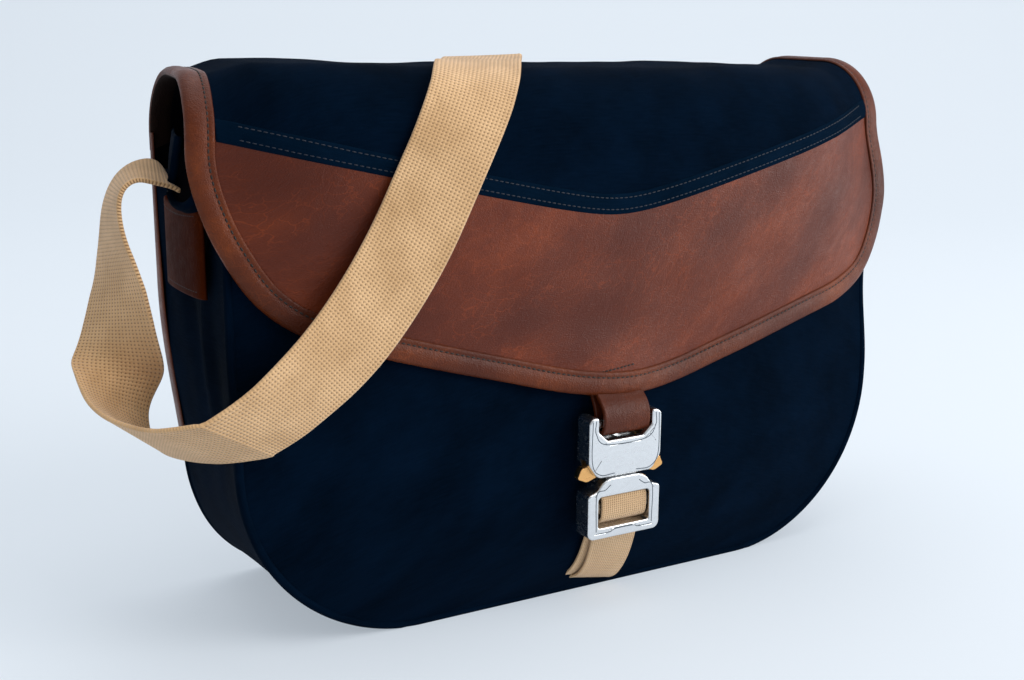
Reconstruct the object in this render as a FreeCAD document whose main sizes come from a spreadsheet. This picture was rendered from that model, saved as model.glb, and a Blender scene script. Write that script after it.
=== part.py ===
"""Messenger bag with a buckled flap and a webbing shoulder strap.

Millimetres, +Z up.  The bag stands on its base, faces -Y and its width runs along X.
The origin is under the middle of its bounding box, strap not counted.
"""
import FreeCAD, Part
import math
import os
import re
from FreeCAD import Placement, Rotation, Vector

# ---------------------------------------------------------------- driving sizes
SIZES = {
    # bag body
    "body_width": 352,
    "corner_radius": 62,
    "panel_thick": 2.2,
    "lining_thick": 0.8,
    "mouth_height": 205,
    "back_height": 215.5,
    "seam_front": 35.5,
    "seam_back": 64.5,
    "front_bulge": 16,
    "fabric_gap": 0.1,
    # leather and canvas of the flap, as offsets outward from the front panel
    "flap_width": 366,
    "flap_inner": 0.5,
    "flap_core": 1.4,
    "canvas_outer": 3.0,
    "leather_outer": 3.4,
    "binding_outer": 4.7,
    "binding_width": 11,
    "crown_top": 247.8,
    "crown_back": 61.8,
    "shoulder_radius": 29,
    "fold_height": 217.5,
    "flap_tip": 101,
    "yoke_tip": 187,
    "flap_slope": 0.235,
    "yoke_slope": 0.2,
    "flap_corner": 60,
    # trims
    "piping_width": 3.6,
    "piping_outer": 2.4,
    "binding_thick": 1.9,
    "keeper_width": 45,
    "keeper_height": 39,
    "keeper_bottom": 156,
    "keeper_depth": 4.6,
    "pocket_width": 200,
    "pocket_bottom": 60,
    "pocket_top": 170,
    "pocket_depth": 6.6,
    "stiffener_thick": 2.5,
    # shoulder strap
    "strap_width": 38,
    "strap_thick": 2.0,
    # closure
    "buckle_width": 40,
    "buckle_thick": 11,
    "buckle_front": 66.5,
    "webbing_width": 25,
    "webbing_thick": 1.4,
    "tab_width": 25.4,
    "plate_thick": 3.2,
    "socket_bottom": 66.4,
    "socket_top": 95.5,
    "slot_width": 29.6,
    "slot_bottom": 84,
    "plug_bottom": 36.7,
    "plug_shoulder": 58.5,
    "plug_top": 65.6,
    "window_width": 28.6,
    "window_bottom": 42,
    "window_height": 15,
    "tongue_width": 17,
    "tongue_thick": 3.6,
    "tongue_top": 79,
    "bar_height": 7,
    "bar_thick": 4.4,
    "bar_bottom": 46.8,
    "cross_bar_height": 91,
    "cross_bar_radius": 2.2,
    "clip_thick": 4,
    "clip_reach": 24,
    "clip_inner": 11.3,
    "spring_radius": 1.5,
}

doc = FreeCAD.newDocument("messenger_bag")
sheet = doc.addObject("Spreadsheet::Sheet", "Sizes")
for row, (alias, value) in enumerate(SIZES.items(), start=1):
    sheet.set(f"A{row}", alias)
    sheet.set(f"B{row}", str(value))
    sheet.setAlias(f"B{row}", alias)
doc.recompute()


def size(alias):
    """A driving size, read back from its cell."""
    return float(sheet.get(alias))


def cells(formula):
    """The formula as an expression: each word in it names a cell."""
    return re.sub(r"[a-z]\w*", lambda word: "Sizes." + word.group(), str(formula))


half_body = size("body_width") / 2
half_flap = size("flap_width") / 2
panel = size("panel_thick")
gap = size("fabric_gap")
fold = size("fold_height")
seam_front = size("seam_front")
seam_back = size("seam_back")
buckle_front = -size("buckle_front")
buckle_middle = buckle_front + size("buckle_thick") / 2
hinge_gap = 0.2

# The front panel and everything that lies on it share one upright axis.
bulge = size("front_bulge")
front_radius = (half_body**2 + bulge**2) / (2 * bulge)
front_axis = front_radius - seam_front - bulge
plan_reach = half_flap + 1

named_parts = []


# ---------------------------------------------------------------- helpers
def keep(part, label):
    """Give a sub-part its name and list it for export."""
    part.Label = label
    named_parts.append(part)
    return part


def bind(part, **formulas):
    """Bind properties of a document object to the sheet."""
    for name, formula in formulas.items():
        part.setExpression(name, cells(formula))
    return part


def place(part, across, depth, height):
    """Bind a part's placement to three formulas."""
    part.setExpression(".Placement.Base.x", cells(across))
    part.setExpression(".Placement.Base.y", cells(depth))
    part.setExpression(".Placement.Base.z", cells(height))
    return part


def block(name, length, width, height, corner):
    """A box, all of it bound to the sheet; corner is its lowest corner's three formulas."""
    box = doc.addObject("Part::Box", name)
    bind(box, Length=length, Width=width, Height=height)
    return place(box, *corner)


def rod(name, radius, length, start, direction):
    """A round bar from start along direction."""
    bar = doc.addObject("Part::Cylinder", name)
    bind(bar, Radius=radius, Height=length)
    bar.Placement = Placement(Vector(0, 0, 0), Rotation(Vector(0, 0, 1), Vector(*direction)))
    return place(bar, *start)


def cut(name, base, *tools):
    """base with every tool taken away, as a chain of Part cuts."""
    for number, tool in enumerate(tools):
        result = doc.addObject("Part::Cut", f"{name}_cut{number}")
        result.Base, result.Tool, result.Refine = base, tool, False
        base = result
    return base


def fuse(name, base, *others):
    """base and others as one solid, as a chain of Part fuses."""
    for number, other in enumerate(others):
        result = doc.addObject("Part::Fuse", f"{name}_fuse{number}")
        result.Base, result.Tool, result.Refine = base, other, False
        base = result
    return base


def shaped(label, shape):
    """A soft or doubly curved piece, whose shape is worked out here from the sheet."""
    feature = doc.addObject("Part::Feature", label + "_shape")
    feature.Shape = shape
    feature.Placement = Placement()
    return keep(feature, label)


def rounded(corners, closed=True):
    """Edges through 2-D corners (a, b, radius), each corner turned by an arc of its radius."""
    points = [Vector(a, b, 0) for a, b, _ in corners]
    radii = [radius for _, _, radius in corners]
    count = len(points)
    starts, arcs = [], []
    for i in range(count):
        before, here, after = points[i - 1], points[i], points[(i + 1) % count]
        if radii[i] == 0 or (not closed and i in (0, count - 1)):
            starts.append((here, here))
            arcs.append(None)
            continue
        back = (before - here).normalize()
        on = (after - here).normalize()
        turn = math.acos(max(-1, min(1, back.dot(on))))
        reach = radii[i] / math.tan(turn / 2)
        first, last = here + back * reach, here + on * reach
        middle = (back + on).normalize()
        centre = here + middle * (radii[i] / math.sin(turn / 2))
        arcs.append(centre - middle * radii[i])
        starts.append((first, last))
    edges = []
    for i in range(count):
        first, last = starts[i]
        if arcs[i] is not None:
            edges.append(Part.Arc(first, arcs[i], last))
        if i == count - 1 and not closed:
            continue
        nxt = starts[(i + 1) % count][0]
        if (nxt - last).Length > 1e-6:
            edges.append(Part.LineSegment(last, nxt))
    return edges


def in_xz(shape):
    """Turn a flat shape in XY so that its second coordinate points up and its normal along +Y."""
    shape = shape.copy()
    shape.rotate(Vector(0, 0, 0), Vector(1, 0, 0), 90)
    return shape


def face_of(corners):
    """A flat face in XY bounded by a rounded outline."""
    return Part.Face(Part.Wire([edge.toShape() for edge in rounded(corners)]))


def prism(corners, near=-90, far=90):
    """The outline, seen from the front, run through from y = near to y = far."""
    face = in_xz(face_of(corners))
    face.translate(Vector(0, near, 0))
    return face.extrude(Vector(0, far - near, 0))


def plan_arc(offset, reach=plan_reach):
    """The front panel's curve in plan, moved outward by offset."""
    radius = front_radius + offset
    side = front_axis - math.sqrt(radius**2 - reach**2)
    tip = Vector(0, front_axis - radius, 0)
    return Part.Arc(Vector(-reach, side, 0), tip, Vector(reach, side, 0)).toShape()


def plan_face(offset, back, reach=plan_reach):
    """Everything in plan from the front curve to the straight line y = back."""
    arc = plan_arc(offset, reach)
    left, right = arc.Vertexes[0].Point, arc.Vertexes[1].Point
    corners = [right, Vector(right.x, back, 0), Vector(left.x, back, 0), left]
    sides = [Part.makeLine(a, b) for a, b in zip(corners, corners[1:])]
    return Part.Face(Part.Wire([arc] + sides))


def layer(near, far, low=0, high=400):
    """A sheet on the front panel, between two offsets and two heights."""
    solid = plan_face(far, 0).cut(plan_face(near, 0)).extrude(Vector(0, 0, high - low))
    solid.translate(Vector(0, 0, low))
    return solid


def box_shape(x0, x1, y0, y1, z0, z1):
    return Part.makeBox(x1 - x0, y1 - y0, z1 - z0, Vector(x0, y0, z0))


def body_outline(inset, top):
    """The bag's front outline: straight sides and base with large round corners."""
    half = half_body - inset
    radius = size("corner_radius") - inset
    return [(-half, inset, radius), (half, inset, radius), (half, top, 0), (-half, top, 0)]


def flap_outline(inset):
    """The flap's front outline below the fold: a shallow V with round corners."""
    half = half_flap - inset
    slope = size("flap_slope")
    tip = size("flap_tip") + inset * math.hypot(1, slope)
    side = tip + slope * half
    radius = size("flap_corner") - inset
    return [(0, tip, 120), (half, side, radius), (half, fold - hinge_gap, 0),
            (-half, fold - hinge_gap, 0), (-half, side, radius)]


def above_yoke_line(drop):
    """Everything above the hemmed V of the canvas yoke, moved down by drop."""
    tip = size("yoke_tip") - drop
    far = tip + size("yoke_slope") * 400
    return prism([(0, tip, 150), (400, far, 0), (400, 500, 0), (-400, 500, 0), (-400, far, 0)])


# ---------------------------------------------------------------- bag body
def front_wall(label, near, far, inset, top):
    shaped(label, layer(near, far).common(prism(body_outline(inset, top))))


def base_panel():
    """The base with its two round corners, one strip from gusset to gusset."""
    top = size("corner_radius") + gap / 2
    inside = plan_face(-panel - gap, seam_back - panel - gap)
    room = inside.extrude(Vector(0, 0, top))
    strip = prism(body_outline(0, 400)).cut(prism(body_outline(panel, 401)))
    shaped("base_panel", strip.common(room))


def gusset(label, side):
    """A side wall from the round corner to the mouth."""
    corner = "body_width / 2 - panel_thick" if side > 0 else "-body_width / 2"
    wall = block(label + "_wall", "panel_thick",
                 "seam_front + seam_back - 2 * panel_thick - 3 * fabric_gap",
                 "mouth_height - corner_radius - fabric_gap",
                 (corner, "panel_thick + 2 * fabric_gap - seam_front", "corner_radius + fabric_gap"))
    keep(wall, label)


def side_lining(label, side):
    inner = "body_width / 2 - panel_thick - fabric_gap"
    corner = f"{inner} - lining_thick" if side > 0 else f"-({inner})"
    wall = block(label + "_sheet", "lining_thick",
                 "seam_front + seam_back - 2 * panel_thick - 8 * lining_thick",
                 "mouth_height - corner_radius - 2",
                 (corner, "panel_thick + 4 * lining_thick - seam_front", "corner_radius"))
    keep(wall, label)


def back_panel():
    """A flat panel with the same round lower corners, made as a padded sketch."""
    body = doc.addObject("PartDesign::Body", "BackPanel")
    sketch = body.newObject("Sketcher::SketchObject", "BackOutline")
    plane = next(f for f in body.Origin.OriginFeatures if f.Role == "XZ_Plane")
    sketch.AttachmentSupport = [(plane, "")]
    sketch.MapMode = "FlatFace"
    for edge in rounded(body_outline(0, size("back_height"))):
        sketch.addGeometry(edge, False)
    doc.recompute()
    pad = body.newObject("PartDesign::Pad", "BackPad")
    pad.Profile = sketch
    bind(pad, Length="panel_thick")
    place(body, "0", "seam_back", "0")
    keep(body, "back_panel")


def back_lining():
    sheet_box = block("back_lining_sheet", "body_width - 12", "lining_thick",
                      "mouth_height - corner_radius",
                      ("6 - body_width / 2", "seam_back - panel_thick - fabric_gap - lining_thick",
                       "corner_radius"))
    lower = block("back_lining_lower", "body_width - 2 * corner_radius", "lining_thick",
                  "corner_radius - 6",
                  ("corner_radius - body_width / 2",
                   "seam_back - panel_thick - fabric_gap - lining_thick", "6"))
    keep(fuse("back_lining", sheet_box, lower), "lining_back")


def front_piping():
    """A raised cord of canvas along the front seam, below the flap."""
    band = prism(body_outline(0.4, 150)).cut(prism(body_outline(size("piping_width"), 151)))
    shaped("front_piping", band.common(layer(gap, size("piping_outer"))))


def back_binding(label, side):
    """A leather strip folded round the upright back seam."""
    name = label + "_"
    height = "back_height - corner_radius"
    outer = block(name + "outer", "12", "14", height,
                  ("body_width / 2 + binding_thick - 12" if side > 0
                   else "-body_width / 2 - binding_thick",
                   "seam_back + binding_thick - 14", "corner_radius"))
    inner = block(name + "inner", "14", "14", f"{height} + 2",
                  ("body_width / 2 + fabric_gap - 14" if side > 0
                   else "-body_width / 2 - fabric_gap",
                   "seam_back + fabric_gap - 14", "corner_radius - 1"))
    keep(cut(name, outer, inner), label)


def stiffener():
    board = block("stiffener_board", "body_width - 2 * corner_radius - 4",
                  "seam_front + seam_back - 2 * panel_thick - 4", "stiffener_thick",
                  ("2 + corner_radius - body_width / 2", "panel_thick + 2 - seam_front",
                   "panel_thick + fabric_gap"))
    keep(board, "base_stiffener")


def pocket():
    """A slip pocket on the back lining, open at the top."""
    back = "seam_back - panel_thick - lining_thick - 3 * fabric_gap"
    outer = block("pocket_outer", "pocket_width", "pocket_depth", "pocket_top - pocket_bottom",
                  ("-pocket_width / 2", f"{back} - pocket_depth", "pocket_bottom"))
    room = block("pocket_room", "pocket_width - 3", "pocket_depth", "pocket_top - pocket_bottom",
                 ("1.5 - pocket_width / 2", f"{back} - pocket_depth + 1.5", "pocket_bottom + 1.5"))
    keep(cut("pocket", outer, room), "inner_pocket")


def strap_keeper(label, side):
    """A leather patch on the gusset with a channel for the strap."""
    middle = "(seam_back - seam_front) / 2"
    near = "body_width / 2 + fabric_gap"
    corner = near if side > 0 else f"-({near} + keeper_depth)"
    patch = block(label + "_patch", "keeper_depth", "keeper_width", "keeper_height",
                  (corner, f"{middle} - keeper_width / 2", "keeper_bottom"))
    channel_corner = f"{near} - 1" if side > 0 else f"-({near} + strap_thick + 0.7)"
    channel = block(label + "_channel", "strap_thick + 1.7", "strap_width + 1",
                    "keeper_height + 2",
                    (channel_corner, f"{middle} - strap_width / 2 - 0.5", "keeper_bottom - 1"))
    keep(cut(label, patch, channel), label)


# ---------------------------------------------------------------- flap
def crown_block(offset):
    """The solid under a crown surface that lies offset outside the front panel's surface."""
    low = fold + hinge_gap
    top = size("crown_top") + offset
    back = size("crown_back") + offset
    solid = plan_face(offset, back).extrude(Vector(0, 0, top - low))
    solid.translate(Vector(0, 0, low))
    long_edges = [e for e in solid.Edges
                  if e.BoundBox.XLength > half_flap and e.BoundBox.ZMin > top - 1]
    return solid.makeFillet(size("shoulder_radius") + offset, long_edges)


def crown_shell(outer, inner, left, right):
    """A stretch of the crown between two offsets and two places across."""
    below = crown_block(inner)
    below.translate(Vector(0, 0, -0.001))
    shell = crown_block(outer).cut(below)
    return shell.common(box_shape(left, right, -90, 90, fold, 300))


def crown():
    edge = half_flap - size("binding_width")
    core, inner = size("flap_core"), size("flap_inner")
    shaped("crown_canvas", crown_shell(size("canvas_outer"), core, gap - edge, edge - gap))
    shaped("crown_lining", crown_shell(core - gap, inner, gap - edge, edge - gap))
    outer = size("binding_outer")
    shaped("crown_binding_left", crown_shell(outer, inner, -half_flap, -edge))
    shaped("crown_binding_right", crown_shell(outer, inner, edge, half_flap))


def tab_tongue(margin):
    """The space behind the flap's tip where the closure tab is sewn in."""
    half = size("tab_width") / 2 + margin
    return box_shape(-half, half, -54.6 - margin, -51.5, 90, 122 + margin)


def flap_front():
    edge = size("binding_width") + gap
    core = size("flap_core")
    field = prism(flap_outline(edge))
    leather = layer(core, size("leather_outer")).common(field).cut(above_yoke_line(0))
    shaped("flap_leather_panel", leather.cut(tab_tongue(gap)))
    yoke = layer(core, size("canvas_outer")).common(field).common(above_yoke_line(-0.3))
    shaped("flap_yoke", yoke)
    lining = layer(size("flap_inner"), core - gap).common(field)
    shaped("flap_lining", lining.cut(tab_tongue(gap)))
    rim = prism(flap_outline(0)).cut(prism(flap_outline(size("binding_width"))).fuse(
        box_shape(-edge * 15, edge * 15, -90, 90, fold - 1, fold + 1)))
    binding = layer(size("flap_inner"), size("binding_outer")).common(rim)
    shaped("flap_binding", binding.cut(tab_tongue(gap)))


def closure_tab():
    """A leather loop round the socket's cross bar, its tongue sewn behind the flap's tip."""
    bar_z = size("cross_bar_height")
    profile = [(-52.3, 122, 0), (-54.5, 122, 0), (-54.5, 99.5, 2), (-65.4, 97, 3.5),
               (-65.4, 86.5, 4), (-56.7, 86.5, 4), (-56.7, 94, 3), (-52.3, 97.5, 2)]
    body = doc.addObject("PartDesign::Body", "ClosureTab")
    plane = next(f for f in body.Origin.OriginFeatures if f.Role == "YZ_Plane")
    sketch = body.newObject("Sketcher::SketchObject", "TabProfile")
    sketch.AttachmentSupport = [(plane, "")]
    sketch.MapMode = "FlatFace"
    for edge in rounded(profile):
        sketch.addGeometry(edge, False)
    eye = size("cross_bar_radius") + gap
    sketch.addGeometry(Part.Circle(Vector(buckle_middle, bar_z, 0), Vector(0, 0, 1), eye), False)
    doc.recompute()
    pad = body.newObject("PartDesign::Pad", "TabPad")
    pad.Profile = sketch
    pad.Midplane = True
    bind(pad, Length="tab_width")
    keep(body, "closure_tab")


# ---------------------------------------------------------------- buckle
def plate_body(name, corners, thick, front_y, holes=()):
    """A PartDesign plate seen from the front, from y = front_y back by thick."""
    body = doc.addObject("PartDesign::Body", name)
    plane = next(f for f in body.Origin.OriginFeatures if f.Role == "XZ_Plane")
    sketch = body.newObject("Sketcher::SketchObject", name + "Outline")
    sketch.AttachmentSupport = [(plane, "")]
    sketch.MapMode = "FlatFace"
    for outline in (corners,) + tuple(holes):
        for edge in rounded(outline):
            sketch.addGeometry(edge, False)
    doc.recompute()
    pad = body.newObject("PartDesign::Pad", name + "Pad")
    pad.Profile = sketch
    pad.Reversed = True
    bind(pad, Length=thick)
    place(body, "0", front_y, "0")
    doc.recompute()
    return body


def engrave(body, name, outlines, depth=0.3):
    """Shallow cuts in a plate's front face, checked by the volume they remove."""
    before = body.Shape.Volume
    plane = next(f for f in body.Origin.OriginFeatures if f.Role == "XZ_Plane")
    sketch = body.newObject("Sketcher::SketchObject", name + "Lines")
    sketch.AttachmentSupport = [(plane, "")]
    sketch.MapMode = "FlatFace"
    for outline in outlines:
        for edge in rounded(outline):
            sketch.addGeometry(edge, False)
    doc.recompute()
    pocket_cut = body.newObject("PartDesign::Pocket", name)
    pocket_cut.Profile = sketch
    pocket_cut.Length = depth
    doc.recompute()
    if body.Shape.Volume > before - 1e-3:
        pocket_cut.Reversed = True
        doc.recompute()
    if body.Shape.Volume > before - 1e-3:
        raise RuntimeError(name + " removes nothing")


def soften(body, name, radius, test):
    """Fillet the edges of a body that pass the test."""
    base = body.Tip
    chosen = [f"Edge{i}" for i, edge in enumerate(base.Shape.Edges, start=1) if test(edge)]
    fillet = body.newObject("PartDesign::Fillet", name)
    fillet.Base = (base, chosen)
    fillet.Radius = radius
    doc.recompute()
    if not fillet.isValid() or fillet.Shape.isNull():
        raise RuntimeError(name + " failed")


def line_groove(a0, b0, a1, b1, width=0.5):
    """The outline of a thin straight groove."""
    length = math.hypot(a1 - a0, b1 - b0)
    na, nb = (b0 - b1) / length * width / 2, (a1 - a0) / length * width / 2
    return [(a0 + na, b0 + nb, 0), (a0 - na, b0 - nb, 0), (a1 - na, b1 - nb, 0), (a1 + na, b1 + nb, 0)]


def socket_outline():
    half, low, top = size("buckle_width") / 2, size("socket_bottom"), size("socket_top")
    slot, floor = size("slot_width") / 2, size("slot_bottom")
    return [(-half + 5, low, 4), (half - 5, low, 4), (half, low + 7, 5), (half, top, 3.2),
            (slot, top, 1.2), (slot, floor + 4.6, 2), (slot - 5, floor, 1.5),
            (5 - slot, floor, 1.5), (-slot, floor + 4.6, 2), (-slot, top, 1.2),
            (-half, top, 3.2), (-half, low + 7, 5)]


def on_plane(edge, y, tolerance=0.01):
    box = edge.BoundBox
    return abs(box.YMin - y) < tolerance and abs(box.YMax - y) < tolerance


def socket():
    thick = size("plate_thick")
    front = plate_body("SocketFront", socket_outline(), "plate_thick", "-buckle_front")
    soften(front, "SocketFrontEdge", 0.9, lambda e: on_plane(e, 0))
    engrave(front, "SocketMarks", [line_groove(-16.8, 70.5, -13.4, 75), line_groove(16.8, 80.5, 13.4, 84.5),
                                   line_groove(-10.5, 82.2, -15.6, 86.6), line_groove(10.5, 82.2, 15.6, 86.6),
                                   line_groove(-9, 81.6, 9, 81.6)])
    keep(front, "socket_front")
    back = plate_body("SocketBack", socket_outline(), "plate_thick",
                      "buckle_thick - plate_thick - buckle_front")
    soften(back, "SocketBackEdge", 0.9, lambda e: on_plane(e, thick))
    rails = []
    half, top, low = size("buckle_width") / 2, size("socket_top"), size("socket_bottom")
    slot = size("slot_width") / 2
    rail_back = buckle_front + size("buckle_thick") - thick
    for side in (-1, 1):
        outer, inner = side * half, side * slot
        rail = prism([(outer, low + 8.5, 0), (outer, top, 3.2), (inner, top, 1.2), (inner, low + 14, 0),
                      (side * (slot + 1.6), low + 8.5, 0)], buckle_front + thick, rail_back)
        rails.append(rail)
    post = box_shape(-1.2, 1.2, buckle_front + thick, rail_back, size("tongue_top") + 0.6,
                     size("slot_bottom") - 0.6)
    seat = Part.makeCylinder(size("cross_bar_radius") + 0.05, 2 * slot + 3.2,
                             Vector(-slot - 1.6, buckle_middle, size("cross_bar_height")), Vector(1, 0, 0))
    frame = doc.addObject("Part::Feature", "SocketRails")
    frame.Shape = rails[0].fuse(rails[1]).fuse(post).cut(seat)
    keep(fuse("socket_back", back, frame), "socket_back")


def socket_fasteners():
    bar = rod("cross_bar_rod", "cross_bar_radius", "slot_width + 3",
              ("-slot_width / 2 - 1.5", "buckle_thick / 2 - buckle_front", "cross_bar_height"),
              (1, 0, 0))
    keep(bar, "socket_cross_bar")


def clip(label, side):
    """A brass release clip: a pad that stands out of the socket's side and an arm inside."""
    inner, reach = size("clip_inner"), size("clip_reach")
    low = size("socket_bottom") - 2.2
    corners = [(side * inner, low + 2.6, 0.8), (side * (reach - 5), low, 3), (side * reach, low + 2.4, 1.2),
               (side * (reach - 2), low + 7, 2), (side * (inner + 3), low + 9, 1),
               (side * (inner + 3), low + 18.4, 0.6), (side * inner, low + 18.4, 0.6)]
    if side < 0:
        corners.reverse()
    body = plate_body("Clip" + label, corners, "clip_thick",
                      "(buckle_thick - clip_thick) / 2 - buckle_front")
    soften(body, "ClipEdge" + label, 0.4, lambda e: on_plane(e, 0) or on_plane(e, size("clip_thick")))
    keep(body, "release_clip_" + label)


def clip_spring(label, side):
    """The spring between a clip's arm and the post in the socket."""
    height = "socket_bottom + 14.6"
    start = "1.4" if side > 0 else "-1.4"
    tube = rod("spring_tube_" + label, "spring_radius", "clip_inner - 1.6",
               (start, "buckle_thick / 2 - buckle_front", height), (side, 0, 0))
    hole = rod("spring_hole_" + label, "spring_radius * 0.6", "clip_inner",
               ("0" if side > 0 else "-0", "buckle_thick / 2 - buckle_front", height), (side, 0, 0))
    keep(cut("spring_" + label, tube, hole), "clip_spring_" + label)


def plug():
    half, low = size("buckle_width") / 2, size("plug_bottom")
    shoulder, top = size("plug_shoulder"), size("plug_top")
    window, sill = size("window_width") / 2, size("window_bottom")
    lintel = sill + size("window_height")
    outline = [(-half, low, 3.6), (half, low, 3.6), (half, shoulder, 2), (half - 5, shoulder + 1.6, 4),
               (half - 9, top, 9), (9 - half, top, 9), (5 - half, shoulder + 1.6, 4), (-half, shoulder, 2)]
    opening = [(-window, sill, 1.4), (window, sill, 1.4), (window, lintel, 2), (-window, lintel, 2)]
    frame = plate_body("PlugFrame", outline, "buckle_thick", "-buckle_front", [opening])
    deep = size("buckle_thick")
    soften(frame, "PlugEdge", 0.8, lambda e: on_plane(e, 0) or on_plane(e, deep))
    lip = low + 2.6
    engrave(frame, "PlugMarks", [line_groove(-half + 3.5, lip, -9.5, lip), line_groove(9.5, lip, half - 3.5, lip),
                                 line_groove(-9, lip + 0.5, -7, lip + 1.3), line_groove(7, lip + 1.3, 9, lip + 0.5),
                                 line_groove(-6.5, lip + 1.6, 6.5, lip + 1.6),
                                 line_groove(-16.5, 57.6, -14.9, 60), line_groove(16.5, 57.6, 14.9, 60)])
    slots = block("plug_bar_slots", "buckle_width - 7", "bar_thick + 0.6", "bar_height + 2.2",
                  ("3.5 - buckle_width / 2", "(buckle_thick - bar_thick) / 2 - 0.3 - buckle_front",
                   "bar_bottom - 0.3"))
    tongue = block("plug_tongue", "tongue_width", "tongue_thick", "tongue_top - plug_top + 3",
                   ("-tongue_width / 2", "(buckle_thick - tongue_thick) / 2 - buckle_front",
                    "plug_top - 3"))
    keep(fuse("plug", cut("plug", frame, slots), tongue), "buckle_plug")


def adjuster_bar():
    """The loose bar in the plug's window that the webbing turns round."""
    bar = block("adjuster_blank", "buckle_width - 8", "bar_thick", "bar_height",
                ("4 - buckle_width / 2", "(buckle_thick - bar_thick) / 2 - buckle_front", "bar_bottom"))
    rounded_bar = doc.addObject("Part::Fillet", "adjuster_rounded")
    rounded_bar.Base = bar
    doc.recompute()
    long_edges = [(i, 1.9, 1.9) for i, e in enumerate(bar.Shape.Edges, start=1)
                  if e.BoundBox.XLength > 5]
    rounded_bar.Edges = long_edges
    keep(rounded_bar, "adjuster_bar")


def strip(corners, width, thick):
    """A flat strip of webbing: a rounded path in the YZ plane, width across X."""
    path = Part.Wire([edge.toShape() for edge in rounded(corners, closed=False)])
    path.rotate(Vector(0, 0, 0), Vector(1, 1, 1), 120)
    start = path.Vertexes[0].Point
    across, deep = width / 2, thick / 2
    section = Part.makePolygon([start + Vector(a * across, d * deep, 0)
                                for a, d in ((-1, -1), (1, -1), (1, 1), (-1, 1), (-1, -1))])
    return path.makePipeShell([section], True, False)


def closure_webbing():
    """The webbing rises from the base seam, turns round the adjuster bar and comes back."""
    width, thick = size("webbing_width"), size("webbing_thick")
    behind, outer, ahead = -52.6, -54.3, buckle_middle - size("bar_thick") / 2 - 0.9
    inner = buckle_middle + size("bar_thick") / 2 + 0.9
    turn = (inner - ahead) / 2 - 0.05
    rise = [(behind, 4.6, 0), (behind, 46, 2.5), (inner, 50, 2.5), (inner, 56, turn), (ahead, 56, turn),
            (ahead, 44.3, 2.4), (outer, 43.4, 1.6), (outer, 4.6, 0)]
    shaped("closure_webbing", strip(rise, width, thick))


# ---------------------------------------------------------------- shoulder strap
# Each point is (x, y, z) and the direction of the strap's width there.  The strap leaves the left
# keeper, arches outward, hangs in a loop, crosses the front and the flap, goes over the crown and
# down the back, and rises to the right keeper.
STRAP_LOOP = [
    ((-177.6, 14.5, 160), (0, -1, 0)),
    ((-177.6, 14.5, 196), (0, -1, 0)),
    ((-182.5, 14.5, 204), (-0.15, -0.98, -0.06)),
    ((-190, 13.5, 209), (-0.28, -0.95, -0.15)),
    ((-199, 12.5, 209.5), (-0.22, -0.97, -0.06)),
    ((-206, 12, 205), (-0.18, -0.98, 0)),
    ((-210.5, 9.5, 196), (-0.1, -0.98, 0.1)),
    ((-212, 5, 182), (0, -0.98, 0.18)),
    ((-212, 0, 168), (0.22, -0.95, 0.2)),
    ((-212, 2, 153), (0.42, -0.89, 0.17)),
    ((-212, 4, 141.5), (0.6, -0.8, 0.1)),
    ((-212, 5, 132), (0.83, -0.55, -0.05)),
    ((-213, 5, 123.5), (0.95, 0.1, -0.28)),
    ((-215.5, 2, 116), (0.83, 0.36, -0.43)),
    ((-216, -3.5, 110), (0.76, 0.36, -0.54)),
    ((-215, -10, 106), (0.73, 0.33, -0.6)),
    ((-212, -18, 103.5), (0.72, 0.33, -0.6)),
    ((-207.5, -26, 102.5), (0.72, 0.36, -0.59)),
    ((-202.5, -35, 102.5), (0.72, 0.38, -0.57)),
    ((-195, -44.5, 103.5), (0.74, 0.36, -0.56)),
    ((-181, -51.5, 106), (0.82, 0.3, -0.5)),
]
STRAP_FRONT = [
    ((-181, -51.5, 106), (0.82, 0.3, -0.5)),
    ((-168.3, -54.8, 112.8), (0.76, 0.3, -0.57)),
    ((-152, -56, 125.5), (0.7, 0.22, -0.66)),
    ((-140.5, -56, 135), (0.7, 0.13, -0.7)),
    ((-128.5, -55.6, 147), (0.72, 0.04, -0.69)),
    ((-115, -55.2, 164), (0.76, -0.02, -0.65)),
    ((-102.5, -54.7, 183), (0.79, -0.08, -0.6)),
    ((-92.5, -53.9, 201.5), (0.86, -0.1, -0.5)),
    ((-84, -53.6, 218), (0.92, -0.08, -0.4)),
]
STRAP_OVER = [
    ((-84, -53.6, 218), (0.92, -0.08, -0.4)),
    ((-73.5, -51.2, 236.8), (0.93, -0.12, -0.34)),
    ((-63, -38.6, 250.2), (0.92, -0.28, -0.24)),
    ((-52, -19.5, 253.7), (0.91, -0.42, 0)),
    ((-38, 4, 252.5), (0.91, -0.42, 0)),
    ((-26, 24, 252.9), (0.92, -0.4, 0)),
    ((-19.5, 34.5, 253.4), (0.93, -0.36, 0.05)),
    ((-12.5, 50.5, 249), (0.95, -0.25, 0.15)),
    ((-6.5, 63.5, 236.3), (0.97, -0.12, 0.2)),
    ((-1.5, 69, 220), (0.98, 0, 0.15)),
]
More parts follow.
